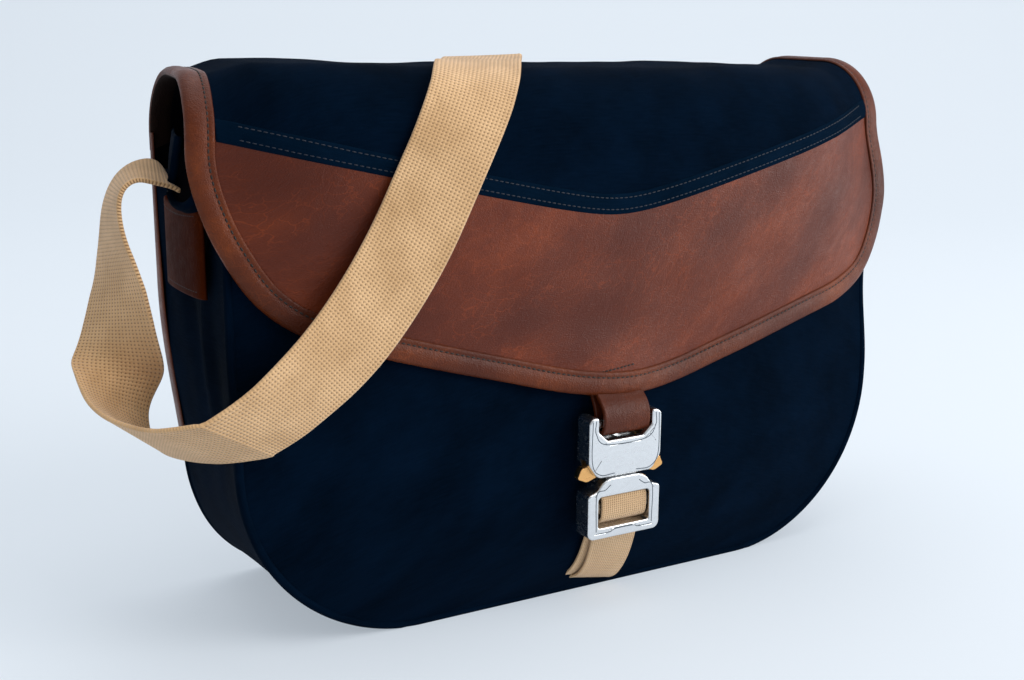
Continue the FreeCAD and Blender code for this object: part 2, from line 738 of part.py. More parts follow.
STRAP_BACK = [
    ((-1.5, 69, 220), (0.98, 0, 0.15)),
    ((3.5, 70, 190), (0.98, 0, 0.15)),
    ((9, 71, 150), (0.97, 0, 0.22)),
    ((20, 71, 108), (0.9, 0, 0.42)),
    ((45, 71, 74), (0.66, 0, 0.75)),
    ((82, 71, 60), (0.2, 0, 0.98)),
    ((120, 72, 70), (-0.36, 0, 0.93)),
    ((154, 74, 96), (-0.72, 0, 0.69)),
    ((180, 73, 130), (-0.85, 0.2, 0.48)),
    ((199, 60, 165), (-0.7, 0.68, 0.25)),
    ((207, 41, 194), (-0.35, 0.93, 0.1)),
    ((204, 25, 213), (-0.1, 0.99, 0)),
    ((193, 17, 218), (0, 1, 0)),
    ((182, 15, 210), (0, 1, 0)),
    ((177.6, 14.5, 196), (0, 1, 0)),
    ((177.6, 14.5, 160), (0, 1, 0)),
]


def strap(label, route):
    """A ribbon through the route; a slanting width is drawn out so the strap keeps its breadth."""
    points = [Vector(*point) for point, _ in route]
    across, deep = size("strap_width") / 2, size("strap_thick") / 2
    sections = []
    for i, (_, wide) in enumerate(route):
        before, after = points[max(i - 1, 0)], points[min(i + 1, len(points) - 1)]
        along = (after - before).normalize()
        if i in (0, len(route) - 1):
            along = END_DIRECTIONS.get((label, i), along)
        wide = Vector(*wide).normalize()
        face = along.cross(wide)
        wide = wide / max(face.Length, 0.7)
        face.normalize()
        ring = [points[i] + wide * (a * across) + face * (d * deep)
                for a, d in ((-1, -1), (1, -1), (1, 1), (-1, 1), (-1, -1))]
        sections.append(Part.makePolygon(ring))
    return shaped(label, Part.makeLoft(sections, True, True))


def direction(route_a, route_b):
    """The way the strap runs through the joint between two routes."""
    return (Vector(*route_b[1][0]) - Vector(*route_a[-2][0])).normalize()


END_DIRECTIONS = {}
for first, second, a, b in (("strap_loop", "strap_front", STRAP_LOOP, STRAP_FRONT),
                            ("strap_front", "strap_over", STRAP_FRONT, STRAP_OVER),
                            ("strap_over", "strap_back", STRAP_OVER, STRAP_BACK)):
    END_DIRECTIONS[first, len(a) - 1] = direction(a, b)
    END_DIRECTIONS[second, 0] = direction(a, b)


# ---------------------------------------------------------------- build
def build():
    front_wall("front_panel", -panel, 0, 0, size("mouth_height"))
    base_panel()
    back_panel()
    for side, word in ((-1, "left"), (1, "right")):
        gusset("gusset_" + word, side)
        side_lining("lining_" + word, side)
        back_binding("back_binding_" + word, side)
        strap_keeper("strap_keeper_" + word, side)
        clip(word, side)
        clip_spring(word, side)
    lining = size("lining_thick")
    front_wall("lining_front", -panel - gap - lining, -panel - gap, 6, size("mouth_height") - 2)
    back_lining()
    front_piping()
    stiffener()
    pocket()
    crown()
    flap_front()
    closure_tab()
    socket()
    socket_fasteners()
    plug()
    adjuster_bar()
    closure_webbing()
    for label, route in (("strap_loop", STRAP_LOOP), ("strap_front", STRAP_FRONT),
                         ("strap_over", STRAP_OVER), ("strap_back", STRAP_BACK)):
        strap(label, route)
    doc.recompute()


def export():
    """Write one STEP file for each sub-part, once every object is sound."""
    for part in doc.Objects:
        if "Invalid" in part.State or "Error" in part.State:
            raise RuntimeError(f"{part.Label} is {part.State}")
    os.makedirs("parts", exist_ok=True)
    for part in named_parts:
        shape = part.Shape
        if shape.isNull() or not shape.isValid():
            raise RuntimeError(part.Label + " has no valid shape")
        shape.exportStep(f"parts/{part.Label}.step")
        box = shape.BoundBox
        print(f"{part.Label:22s} {len(shape.Solids)} solid  {shape.Volume:10.1f} mm3"
              f"  x {box.XMin:7.1f} {box.XMax:7.1f}  y {box.YMin:6.1f} {box.YMax:6.1f}"
              f"  z {box.ZMin:6.1f} {box.ZMax:6.1f}")


build()
export()
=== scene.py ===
"""Messenger bag: the looks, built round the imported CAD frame.

Lengths in the shape functions are millimetres in the frame's axes (+X right, -Y front, +Z up);
mesh_piece turns them into Blender's metres.
"""
import math

import bmesh
import bpy
import numpy as np
from mathutils import Matrix, Quaternion, Vector


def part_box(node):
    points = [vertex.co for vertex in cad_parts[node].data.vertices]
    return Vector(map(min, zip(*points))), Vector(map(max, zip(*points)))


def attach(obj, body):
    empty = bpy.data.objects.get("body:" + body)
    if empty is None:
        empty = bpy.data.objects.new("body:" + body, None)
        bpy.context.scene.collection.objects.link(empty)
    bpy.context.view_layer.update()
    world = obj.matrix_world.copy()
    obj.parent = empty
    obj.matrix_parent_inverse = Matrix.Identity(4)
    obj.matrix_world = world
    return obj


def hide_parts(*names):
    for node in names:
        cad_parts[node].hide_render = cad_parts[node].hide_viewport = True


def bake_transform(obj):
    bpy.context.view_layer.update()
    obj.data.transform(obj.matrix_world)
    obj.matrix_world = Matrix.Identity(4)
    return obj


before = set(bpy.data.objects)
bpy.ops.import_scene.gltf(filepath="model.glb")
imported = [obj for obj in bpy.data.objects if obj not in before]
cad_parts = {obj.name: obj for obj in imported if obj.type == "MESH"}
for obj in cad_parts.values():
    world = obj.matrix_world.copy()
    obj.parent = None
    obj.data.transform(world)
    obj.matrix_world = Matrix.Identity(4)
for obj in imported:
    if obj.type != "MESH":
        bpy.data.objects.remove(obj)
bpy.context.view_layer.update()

MM = 0.001


def cad(node, corner, axis):
    """One coordinate of a CAD node's box, in millimetres: corner 0 is low, 1 is high."""
    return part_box(node)[corner]["xyz".index(axis)] / MM


# ---------------------------------------------------------------- sizes taken from the frame
HALF = cad("front_panel", 1, "x")            # half the bag's width
MOUTH = cad("front_panel", 1, "z")           # the top of the front and of the gussets
SEAM_BACK = cad("back_panel", 1, "y")
BACK_TOP = cad("back_panel", 1, "z")
FLAP_HALF = cad("flap_binding", 1, "x")

# ---------------------------------------------------------------- the soft shapes' own sizes
SEAM_FRONT = -35.5                           # the front seam's y
BULGE = SEAM_FRONT - cad("front_panel", 0, "y")
CORNER = 86.0                                # lower corners of the body at the front seam
CORNER_BACK = 62.0                           # and at the back seam
CANVAS_THICK = 2.2                           # the body's canvas with its lining
FOLD = BACK_TOP + 4                          # the height where the flap's front meets the shoulder
SHOULDER = 29.0                              # the radius of the flap's turns, front and back
CROWN_BACK = 61.8                            # the y of the crown's back
CROWN_HALF = 177.0                           # half the crown's width at the back seam
FLARE_LEFT = 10.5                            # how much further its sides stand at the front fold
FLARE_RIGHT = 8.0
BACK_DROP = 9.0                              # how far the flap's cloth laps down over the back seam
SIDE_WRAP = 6.0                              # how far the front's sides give way towards the back
LEAN = 7.0                                   # how far the flap's ends lean back at the fold
TIP_BULGE = 4.0                              # the closure tab pushes the flap's tip forward
KEEPER_RISE = 4.0                            # how far a keeper bulges over the strap
KEEPER_SAG = 1.6                             # how far its upper edge dips


# ---------------------------------------------------------------- small tools
def smooth(low, high, value):
    """An even rise from 0 to 1 while value goes from low to high."""
    t = np.clip((value - low) / (high - low), 0, 1)
    return t * t * (3 - 2 * t)


def ripple(u, v, seed, wave, count=6):
    """A smooth uneven field from -1 to 1 with waves about `wave` millimetres long."""
    draw = np.random.RandomState(seed)
    total = 0
    for _ in range(count):
        angle, phase = draw.uniform(0, 2 * np.pi, 2)
        pitch = wave * draw.uniform(0.7, 1.6)
        total = total + np.sin(2 * np.pi * (u * np.cos(angle) + v * np.sin(angle)) / pitch + phase)
    return total / count ** 0.5 / 1.6


def lipped(low, high, count, lip=1.2):
    """Even steps from low to high, with close ones at both ends so that an edge can be rounded."""
    ease = np.array([0, 0.08, 0.3, 0.65]) * lip
    return np.concatenate([low + ease, np.linspace(low + lip, high - lip, count), (high - ease)[::-1]])


def unit(vectors):
    """The same directions, each of length one."""
    return vectors / np.linalg.norm(vectors, axis=-1, keepdims=True)


def distances(line):
    """The distance along a line of points to each of them."""
    return np.concatenate([[0], np.cumsum(np.linalg.norm(np.diff(line, axis=0), axis=1))])


def pairs(first, second):
    """Two arrays, stretched to one shape, as pairs for a uv layer."""
    return np.stack(np.broadcast_arrays(first, second), axis=-1)


def normals_of(grid):
    """Unit normals of a grid of points, from its two directions."""
    du = np.gradient(grid, axis=0)
    dv = np.gradient(grid, axis=1)
    n = np.cross(du, dv)
    return n / np.maximum(np.linalg.norm(n, axis=2, keepdims=True), 1e-9)


def grid_faces(rows, cols, start=0, flip=False, closed=False):
    """Quads of a rows by cols grid; closed joins the last column to the first."""
    last = cols if closed else cols - 1
    i, j = np.meshgrid(np.arange(rows - 1), np.arange(last), indexing="ij")
    k = (j + 1) % cols
    quad = np.stack([i * cols + j, (i + 1) * cols + j, (i + 1) * cols + k, i * cols + k], axis=2)
    quad = quad.reshape(-1, 4) + start
    return quad[:, ::-1] if flip else quad


def placed(name, data):
    """A new object in the scene."""
    holder = bpy.data.objects.new(name, data)
    bpy.context.scene.collection.objects.link(holder)
    return holder


def mesh_piece(name, points, faces, uv, materials, indices=None):
    """A mesh from millimetre points; uv is one pair per point, in millimetres along the surface."""
    mesh = bpy.data.meshes.new(name)
    mesh.from_pydata((np.asarray(points) * MM).tolist(), [], [list(map(int, f)) for f in faces])
    layer = mesh.uv_layers.new(name="UVMap")
    loops = np.zeros(len(mesh.loops), np.int32)
    mesh.loops.foreach_get("vertex_index", loops)
    layer.data.foreach_set("uv", np.asarray(uv, np.float32)[loops].ravel())
    mesh.polygons.foreach_set("use_smooth", np.ones(len(mesh.polygons), bool))
    for made in materials:
        mesh.materials.append(made)
    if indices is not None:
        mesh.polygons.foreach_set("material_index", np.asarray(indices, np.int32))
    mesh.update()
    return placed(name, mesh)


def lengths_along(grid, axis):
    """Distance along the grid's lines from their start."""
    step = np.linalg.norm(np.diff(grid, axis=axis), axis=2)
    total = np.cumsum(step, axis=axis)
    zero = np.zeros_like(np.take(total, [0], axis=axis))
    return np.concatenate([zero, total], axis=axis)


def slab(name, middle, thickness, outer, inner=None):
    """A sheet of cloth or leather round a grid of middle points, its edges rounded over."""
    rows, cols = middle.shape[:2]
    a, b = lengths_along(middle, 0), lengths_along(middle, 1)
    edge = np.minimum(np.minimum(a, a[-1:] - a), np.minimum(b, b[:, -1:] - b))
    half = np.broadcast_to(np.asarray(thickness, float) / 2, (rows, cols))
    rounding = np.sqrt(np.maximum(0, 1 - (1 - np.clip(edge / (half + 0.1), 0, 1)) ** 2))
    shift = normals_of(middle) * (half * rounding)[..., None]
    points = np.concatenate([(middle + shift).reshape(-1, 3), (middle - shift).reshape(-1, 3)])
    uv = np.stack([b, a], axis=2).reshape(-1, 2)
    front = grid_faces(rows, cols)
    back = grid_faces(rows, cols, rows * cols, flip=True)
    indices = [0] * len(front) + [1 if inner else 0] * len(back)
    materials = [outer, inner] if inner else [outer]
    piece = mesh_piece(name, points, np.concatenate([front, back]), np.concatenate([uv, uv]),
                       materials, indices)
    weld(piece)
    return piece


def weld(piece):
    """Join the points that the two sides of a sheet share; a cap's rim stays a crisp edge."""
    bm = bmesh.new()
    bm.from_mesh(piece.data)
    bmesh.ops.remove_doubles(bm, verts=bm.verts, dist=1e-6)
    bmesh.ops.recalc_face_normals(bm, faces=bm.faces)
    for edge in bm.edges:
        if sorted(len(face.verts) for face in edge.link_faces) == [3, 4]:
            edge.smooth = False
    bm.to_mesh(piece.data)
    bm.free()


def swept(name, rings, uv, made):
    """A tube through closed rings of points (stations, points round, 3), its ends capped."""
    stations, around = rings.shape[:2]
    faces = [list(f) for f in grid_faces(stations, around, closed=True)]
    first = stations * around
    points = np.concatenate([rings.reshape(-1, 3), rings[0].mean(0)[None], rings[-1].mean(0)[None]])
    uv = np.concatenate([uv.reshape(-1, 2), uv[0, :1], uv[-1, :1]])
    for j in range(around):
        k = (j + 1) % around
        faces.append([first, j, k])
        faces.append([first + 1, (stations - 1) * around + k, (stations - 1) * around + j])
    piece = mesh_piece(name, points, faces, uv, [made])
    weld(piece)
    return piece


def stitches(name, path, normals, made, pitch=2.6, length=1.75, radius=0.42, sink=0.12):
    """Thread along a path of millimetre points: a small capsule for each stitch."""
    step = distances(path)
    rings = np.array([0.0, 0.12, 0.5, 0.88, 1.0])
    fat = np.array([0.25, 0.8, 1.0, 0.8, 0.25])
    around = 6
    count = len(rings) * around
    turn = np.arange(around) * np.pi / 3

    def at(place, lines):
        return np.array([np.interp(place, step, lines[:, i]) for i in range(3)])

    all_points, all_faces = [], []
    for place in np.arange(pitch / 2, step[-1], pitch):
        here = at(place, path)
        along = at(place + 0.5, path) - at(place - 0.5, path)
        along /= max(np.linalg.norm(along), 1e-9)
        up = at(place, normals)
        up = unit(up - along * up.dot(along))
        side = np.cross(along, up)
        start = len(all_points) * count
        ring = (here - up * sink + along * ((rings - 0.5) * length)[:, None, None]
                + side * (fat[:, None] * np.cos(turn) * radius)[..., None]
                + up * (fat[:, None] * np.sin(turn) * radius * 0.8)[..., None])
        all_points.append(ring.reshape(-1, 3))
        all_faces.extend(list(f) for f in grid_faces(len(rings), around, start, closed=True))
        all_faces.append(list(range(start + around - 1, start - 1, -1)))
        all_faces.append(list(range(start + count - around, start + count)))
    points = np.concatenate(all_points)
    return mesh_piece(name, points, all_faces, np.zeros((len(points), 2)), [made])


# ---------------------------------------------------------------- material tools
def material(name, colour, roughness, **sockets):
    """A node material with a Principled shader whose named sockets are set directly."""
    made = bpy.data.materials.new(name)
    made.use_nodes = True
    shader = made.node_tree.nodes["Principled BSDF"]
    shader.inputs["Base Color"].default_value = (*colour, 1)
    shader.inputs["Roughness"].default_value = roughness
    for socket, value in sockets.items():
        shader.inputs[socket.replace("_", " ")].default_value = value
    return made


class Nodes:
    """Short ways to add and join a material's nodes."""

    def __init__(self, made):
        self.tree = made.node_tree
        self.shader = self.tree.nodes["Principled BSDF"]

    def add(self, kind, inputs=(), **settings):
        node = self.tree.nodes.new("ShaderNode" + kind)
        for key, value in settings.items():
            setattr(node, key, value)
        for socket, value in dict(inputs).items():
            self.feed(node.inputs[socket], value)
        return node

    def feed(self, socket, value):
        if isinstance(value, bpy.types.NodeSocket):
            self.tree.links.new(value, socket)
        else:
            socket.default_value = value

    def math(self, operation, a, b=0.0):
        return self.add("Math", {0: a, 1: b}, operation=operation).outputs[0]

    def uv(self):
        return self.add("UVMap", uv_map="UVMap").outputs["UV"]

    def object_space(self):
        return self.add("TexCoord").outputs["Object"]

    def scaled(self, vector, x, y, z=1.0):
        return self.add("Mapping", {"Vector": vector, "Scale": (x, y, z)}).outputs["Vector"]

    def noise(self, vector, scale, detail=3.0, roughness=0.5, distortion=0.0):
        return self.add("TexNoise", {"Vector": vector, "Scale": scale, "Detail": detail,
                                     "Roughness": roughness, "Distortion": distortion}).outputs["Fac"]

    def fade(self, value, low, high, first=0.0, last=1.0):
        """Maps value from low..high to first..last, clamped."""
        return self.add("MapRange", {"Value": value, "From Min": low, "From Max": high,
                                     "To Min": first, "To Max": last}).outputs["Result"]

    def mix(self, amount, a, b):
        """The colour between a and b; inputs 0, 6 and 7 are the Mix node's for colours."""
        return self.add("Mix", {0: amount, 6: a, 7: b}, data_type="RGBA").outputs[2]

    def bump(self, height, distance, strength):
        return self.add("Bump", {"Height": height, "Distance": distance,
                                 "Strength": strength}).outputs["Normal"]

    def finish(self, colour=None, roughness=None, normal=None):
        for name, value in (("Base Color", colour), ("Roughness", roughness), ("Normal", normal)):
            if value is not None:
                self.feed(self.shader.inputs[name], value)


def rgb(red, green, blue):
    """An sRGB colour of 0 to 255 values as linear numbers."""
    def linear(c):
        c = c / 255
        return c / 12.92 if c <= 0.04045 else ((c + 0.055) / 1.055) ** 2.4
    return (linear(red), linear(green), linear(blue))


# ---------------------------------------------------------------- materials
def leather(name, dark, light, gloss, shine):
    """Oiled leather: fine grain, soft creases and mottled colour; uv is in millimetres."""
    made = material(name, dark, gloss, Specular_IOR_Level=shine)
    n = Nodes(made)
    uv = n.uv()
    cloud = n.noise(uv, 0.022, 4, 0.55)
    mottle = n.noise(uv, 0.16, 5, 0.6, 0.6)
    grain = n.add("TexVoronoi", {"Vector": uv, "Scale": 0.95, "Randomness": 1.0},
                  feature="DISTANCE_TO_EDGE").outputs["Distance"]
    crease = n.noise(n.scaled(uv, 0.32, 0.11), 1.0, 5, 0.6, 1.4)
    swirl = n.add("TexNoise", {"Vector": uv, "Scale": 0.09, "Detail": 3.0}).outputs["Color"]
    offset = n.add("VectorMath", {0: swirl, 3: 16.0}, operation="SCALE").outputs[0]
    bent = n.add("VectorMath", {0: uv, 1: offset}).outputs[0]
    cell = n.add("TexVoronoi", {"Vector": bent, "Scale": 0.14},
                 feature="DISTANCE_TO_EDGE").outputs["Distance"]
    vein = n.math("MULTIPLY", n.fade(cell, 0.0, 0.045, 1.0, 0.0), n.fade(cloud, 0.4, 0.6))
    tone = n.fade(n.math("ADD", n.math("MULTIPLY", cloud, 0.65), n.math("MULTIPLY", mottle, 0.35)),
                  0.36, 0.64)
    colour = n.mix(tone, (*dark, 1), (*light, 1))
    colour = n.mix(n.fade(n.noise(uv, 0.011, 2), 0.35, 0.65), (*[c * 0.72 for c in dark], 1), colour)
    colour = n.mix(n.math("MULTIPLY", vein, 0.26), colour, (*[c * 1.8 for c in light], 1))
    height = n.math("ADD", n.math("MULTIPLY", n.fade(grain, 0.0, 0.35), 0.5),
                    n.math("MULTIPLY", crease, 1.6))
    n.finish(colour, n.fade(mottle, 0.3, 0.7, gloss + 0.07, gloss - 0.07), n.bump(height, 0.00022, 0.8))
    return made


def canvas(name, dark, light):
    """Close-woven waxed canvas with a faint twill and rubbed, uneven colour."""
    made = material(name, dark, 0.9, Specular_IOR_Level=0.02)
    n = Nodes(made)
    uv = n.uv()
    warp = n.add("TexWave", {"Vector": uv, "Scale": 0.75, "Distortion": 0.4, "Detail": 1.0},
                 bands_direction="X").outputs["Fac"]
    weft = n.add("TexWave", {"Vector": uv, "Scale": 0.6, "Distortion": 0.4, "Detail": 1.0},
                 bands_direction="Y").outputs["Fac"]
    cloth = n.math("MAXIMUM", warp, weft)
    cloud = n.noise(uv, 0.03, 4, 0.6)
    slub = n.noise(n.scaled(uv, 0.12, 1.2), 1.0, 3, 0.6)
    fleck = n.fade(n.noise(uv, 1.4, 2, 0.5), 0.74, 0.8)
    tone = n.fade(n.math("ADD", n.math("MULTIPLY", cloud, 0.7), n.math("MULTIPLY", slub, 0.3)), 0.35, 0.68)
    colour = n.mix(tone, (*dark, 1), (*light, 1))
    colour = n.mix(n.math("MULTIPLY", fleck, 0.3), colour, (0.03, 0.055, 0.09, 1))
    n.finish(colour, n.fade(slub, 0.3, 0.7, 0.95, 0.84), n.bump(cloth, 0.00016, 0.6))
    return made


def webbing(name, pit, dull, bright, across=1.75, along=1.55):
    """Heavy cotton webbing: staggered lumps of yarn with pits between, their darkness painted shade; uv in
    millimetres.
    """
    made = material(name, bright, 0.85, Specular_IOR_Level=0.25, Sheen_Weight=0.25, Sheen_Roughness=0.6)
    n = Nodes(made)
    parts = n.add("SeparateXYZ", {"Vector": n.uv()})
    u = n.math("MULTIPLY", parts.outputs["X"], math.pi / across)
    v = n.math("MULTIPLY", parts.outputs["Y"], math.pi / along)
    wander = n.math("MULTIPLY", n.noise(n.uv(), 0.9, 2, 0.5), 1.1)
    first = n.math("SINE", n.math("ADD", n.math("ADD", u, v), wander))
    second = n.math("SINE", n.math("ADD", n.math("SUBTRACT", u, v), wander))
    lump = n.math("MULTIPLY", first, second)
    height = n.fade(lump, -1.0, 1.0)
    fuzz = n.noise(n.uv(), 4.0, 3, 0.6)
    patch = n.noise(n.uv(), 0.05, 3, 0.5)
    tone = n.math("ADD", n.math("MULTIPLY", fuzz, 0.5), n.math("MULTIPLY", patch, 0.5))
    yarn = n.mix(n.fade(tone, 0.35, 0.65), (*dull, 1), (*bright, 1))
    # painted shade: the pit colour darkens the hollows between the yarn lumps
    colour = n.mix(n.fade(lump, -0.95, -0.35), (*pit, 1), yarn)
    n.finish(colour, None, n.bump(n.math("ADD", height, n.math("MULTIPLY", fuzz, 0.25)), 0.00045, 0.9))
    return made


def thread(name, colour):
    """Twisted sewing thread, with painted highlights on the crests of its twist."""
    made = material(name, colour, 0.6)
    n = Nodes(made)
    twist = n.add("TexWave", {"Vector": n.object_space(), "Scale": 900.0},
                  bands_direction="DIAGONAL").outputs["Fac"]
    # painted highlight: the raised bands of the twist are lightened
    light = [c * 1.5 for c in colour]
    n.finish(n.mix(twist, (*colour, 1), (*light, 1)), None, n.bump(twist, 0.00005, 0.5))
    return made


def metal(name, colour, roughness, blast=0.3):
    """Cast and polished metal with a faint bead-blasted skin and small scuffs."""
    made = material(name, colour, roughness, Metallic=1.0)
    n = Nodes(made)
    place = n.object_space()
    skin = n.noise(place, 2600.0, 2, 0.6)
    scuff = n.noise(n.scaled(place, 260, 260, 500), 1.0, 4, 0.6, 0.4)
    n.finish(n.mix(n.fade(scuff, 0.35, 0.75), (*colour, 1), (*[c * 0.92 for c in colour], 1)),
             n.fade(scuff, 0.3, 0.8, roughness - 0.03, roughness + 0.07), n.bump(skin, 0.00001, blast))
    return made


FLAP_LEATHER = leather("flap_leather", rgb(88, 29, 4), rgb(120, 50, 16), 0.44, 0.27)
TRIM_LEATHER = leather("trim_leather", rgb(82, 30, 5), rgb(114, 52, 16), 0.42, 0.24)
# a darker copy of the trim leather: painted shade for the keepers, which sit in shade on the bag's side
SHADED_KEEPER_LEATHER = leather("keeper_leather_painted_shade", rgb(70, 25, 5), rgb(94, 40, 14), 0.6, 0.02)
# the binding's underside: flesh-side leather darkened as painted shade for the shadow it lies in
SHADED_FLESH_LEATHER = leather("leather_flesh_side_painted_shade", rgb(24, 10, 6), rgb(36, 17, 10), 0.8, 0.1)
NAVY = canvas("navy_canvas", rgb(0, 9, 22), rgb(2, 18, 36))
HEM_NAVY = canvas("navy_hem", rgb(0, 15, 30), rgb(4, 24, 43))
LINING = canvas("dark_lining", rgb(3, 3, 6), rgb(8, 8, 12))
POCKET_CLOTH = canvas("pocket_cloth", rgb(14, 16, 24), rgb(24, 26, 36))
# the first colour of each webbing is the painted shade in its pits
WEBBING = webbing("tan_webbing", rgb(132, 96, 60), rgb(188, 146, 98), rgb(226, 184, 136))
CLOSURE_WEAVE = webbing("fine_tan_webbing", rgb(140, 102, 64), rgb(192, 154, 112), rgb(220, 184, 140),
                        1.15, 1.05)
BOARD = material("board", rgb(52, 46, 40), 0.9)
THREAD = thread("brown_thread", rgb(14, 7, 4))
NAVY_THREAD = thread("navy_thread", rgb(4, 14, 30))
SILVER = metal("satin_silver", (0.76, 0.77, 0.78), 0.24, 0.05)
BRASS = metal("polished_brass", (0.85, 0.46, 0.17), 0.24, 0.05)
STEEL = metal("spring_steel", (0.5, 0.5, 0.5), 0.3)
# dark metal for the buckle's grooves: painted shade in the cuts
GROOVE_SHADE = material("painted_groove_shade", rgb(96, 104, 112), 0.5, Metallic=1.0)


# ---------------------------------------------------------------- the body's soft surfaces
def half_width(z, corner=CORNER):
    """Half the body's width at a height: straight sides, round lower corners."""
    rise = np.clip(corner - z, 0, corner)
    return HALF - corner + np.sqrt(np.maximum(corner ** 2 - rise ** 2, 0))


def drawn_in(z):
    """How much narrower each side of the back is than the front, low down."""
    return 10 * (1 - smooth(35, 150, z))


def tuck(x, z):
    """How far the sides of the front give way towards the back, above the corners."""
    side = SIDE_WRAP * smooth(138, 188, np.abs(x)) * smooth(90, 140, z)
    return side + LEAN * smooth(110, 183, np.abs(x)) * smooth(176, 222, z)


def front_y(x, z, out=0.0):
    """The front panel's face, moved outward by out: a pillow on its seam."""
    share = np.abs(x) / np.maximum(half_width(z), 1)
    up = 1 - (1 - np.clip(z / 75, 0, 1)) ** 2.3
    pillow = BULGE * (1 - share ** 2.2) * up
    return SEAM_FRONT - pillow + tuck(x, z) - out


def crown_top(x):
    """The crown's height above the fold, over its radius: it droops a little at the ends."""
    return 1 - 0.07 * (np.abs(x) / FLAP_HALF) ** 4


def crown_half(run, side):
    """Half the flap's width over the crown, narrowing to the back; a side below 0 is the left."""
    return CROWN_HALF + np.where(side < 0, FLARE_LEFT, FLARE_RIGHT) * smooth(85, 0, run)


def flap_surface(x, run, out=0.0):
    """A point on the flap. run is the distance from the front fold, positive back over the crown."""
    x, run, out = np.broadcast_arrays(np.asarray(x, float), run, out)
    y_fold = front_y(x, FOLD)
    arc = SHOULDER * np.pi / 2
    flat = (CROWN_BACK - SHOULDER) - (y_fold + SHOULDER)
    a = np.clip(run / arc, 0, 1) * np.pi / 2
    b = np.clip((run - arc - flat) / arc, 0, 1) * np.pi / 2
    on_top = np.clip(run - arc, 0, flat)
    reach = SHOULDER + out
    y = y_fold + SHOULDER - reach * np.cos(a) + on_top + reach * np.sin(b)
    lift = reach * np.sin(a) - reach * (1 - np.cos(b))
    z = FOLD + lift * crown_top(x)
    low = run < 0
    height = FOLD + run
    tip = TIP_BULGE * np.exp(-((x - 2) / 30) ** 2) * smooth(140, 104, height)
    y = np.where(low, front_y(x, height, out) - tip, y)
    z = np.where(low, height, z)
    z = z - np.maximum(run - 2 * arc - flat, 0)
    return np.stack([x, y, z], axis=-1)


def crown_run(x):
    """The distance over the crown from the front fold to the back seam."""
    y_fold = front_y(np.asarray(x, float), FOLD)
    return np.pi * SHOULDER + (CROWN_BACK - SHOULDER) - (y_fold + SHOULDER)


def yoke_run(x):
    """The hemmed V where the crown's canvas ends, as a distance from the fold."""
    lowest, slope, middle, rounding = 186, 0.235, 3, 20
    return lowest + slope * (np.sqrt((x - middle) ** 2 + rounding ** 2) - rounding) - FOLD


# The flap's outer edge below the fold, as x and height, listed left to right.
FLAP_EDGE = [(-188, 217), (-185.5, 198), (-178.5, 178), (-164.5, 156), (-143, 141), (-107, 129),
             (-60, 115.5), (-25, 106), (6, 102), (35, 104), (66, 111), (117, 123.5), (150, 131.5),
             (171, 141), (183, 157), (188.5, 178), (189, 198), (186, 217)]


def spline_through(points, step=2.0):
    """An even, smooth run of points through the given ones."""
    p = np.asarray(points, float)
    p = np.concatenate([[2 * p[0] - p[1]], p, [2 * p[-1] - p[-2]]])
    t = np.linspace(0, 1, 12, endpoint=False)[:, None]
    found = []
    for a, b, c, d in zip(p, p[1:], p[2:], p[3:]):
        found.append(0.5 * (2 * b + (c - a) * t + (2 * a - 5 * b + 4 * c - d) * t ** 2
                            + (3 * b - a - 3 * c + d) * t ** 3))
    found = np.concatenate(found + [p[-2:-1]])
    along = distances(found)
    even = np.linspace(0, along[-1], int(along[-1] / step))
    return np.stack([np.interp(even, along, column) for column in found.T], axis=1)


def flap_edge():
    """The edge from the back seam at the left, round the flap, to the back seam at the right."""
    back = crown_run(FLAP_HALF) + BACK_DROP
    over = np.arange(back, 6, -12)
    left = [(-crown_half(run, -1), run) for run in over]
    front = [(x, z - FOLD) for x, z in FLAP_EDGE]
    right = [(crown_half(run, 1), run) for run in over[::-1]]
    return spline_through(left + front + right)


def inward(edge):
    """Unit directions into the flap, square to its edge."""
    along = unit(np.gradient(edge, axis=0))
    return np.stack([-along[:, 1], along[:, 0]], axis=1)


EDGE = flap_edge()
EDGE_IN = inward(EDGE)
FLAP_BLEND = dict(start=(0, -0.030, 0.238), end=(0, -0.056, 0.205))


def flap_piece(piece, *nodes):
    """A piece of the flap: bakes its transform into its mesh and hides the CAD nodes that it stands in for.
    """
    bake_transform(piece)
    if nodes:
        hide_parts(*nodes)


def flap_stitches(name, x, run, height, made, *sizes):
    """Stitches along a line of the flap, at a height over its surface."""
    path = flap_surface(x, run, height)
    flap_piece(stitches(name, path, path - flap_surface(x, run, height - 1), made, *sizes))


# ---------------------------------------------------------------- bag body
def front_panel():
    """The front: one panel, pillowed between its seams."""
    rows = np.concatenate([[0, 0.4, 1.2, 2.5], np.linspace(4, 60, 20), np.linspace(64, MOUTH, 32)])
    across = lipped(-1, 1, 90, 0.008)
    z, u = np.meshgrid(rows, across, indexing="ij")
    x = u * (half_width(z) - 0.6)
    lift = 0.8 * ripple(x, z, 3, 90) * (1 - np.abs(u) ** 4) * smooth(0, 30, z)
    grid = np.stack([x, front_y(x, z) - lift + CANVAS_THICK / 2, z], axis=-1)
    piece = slab("front_canvas", grid[:, ::-1], CANVAS_THICK, NAVY, LINING)
    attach(piece, "bag")
    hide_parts("front_panel", "lining_front")


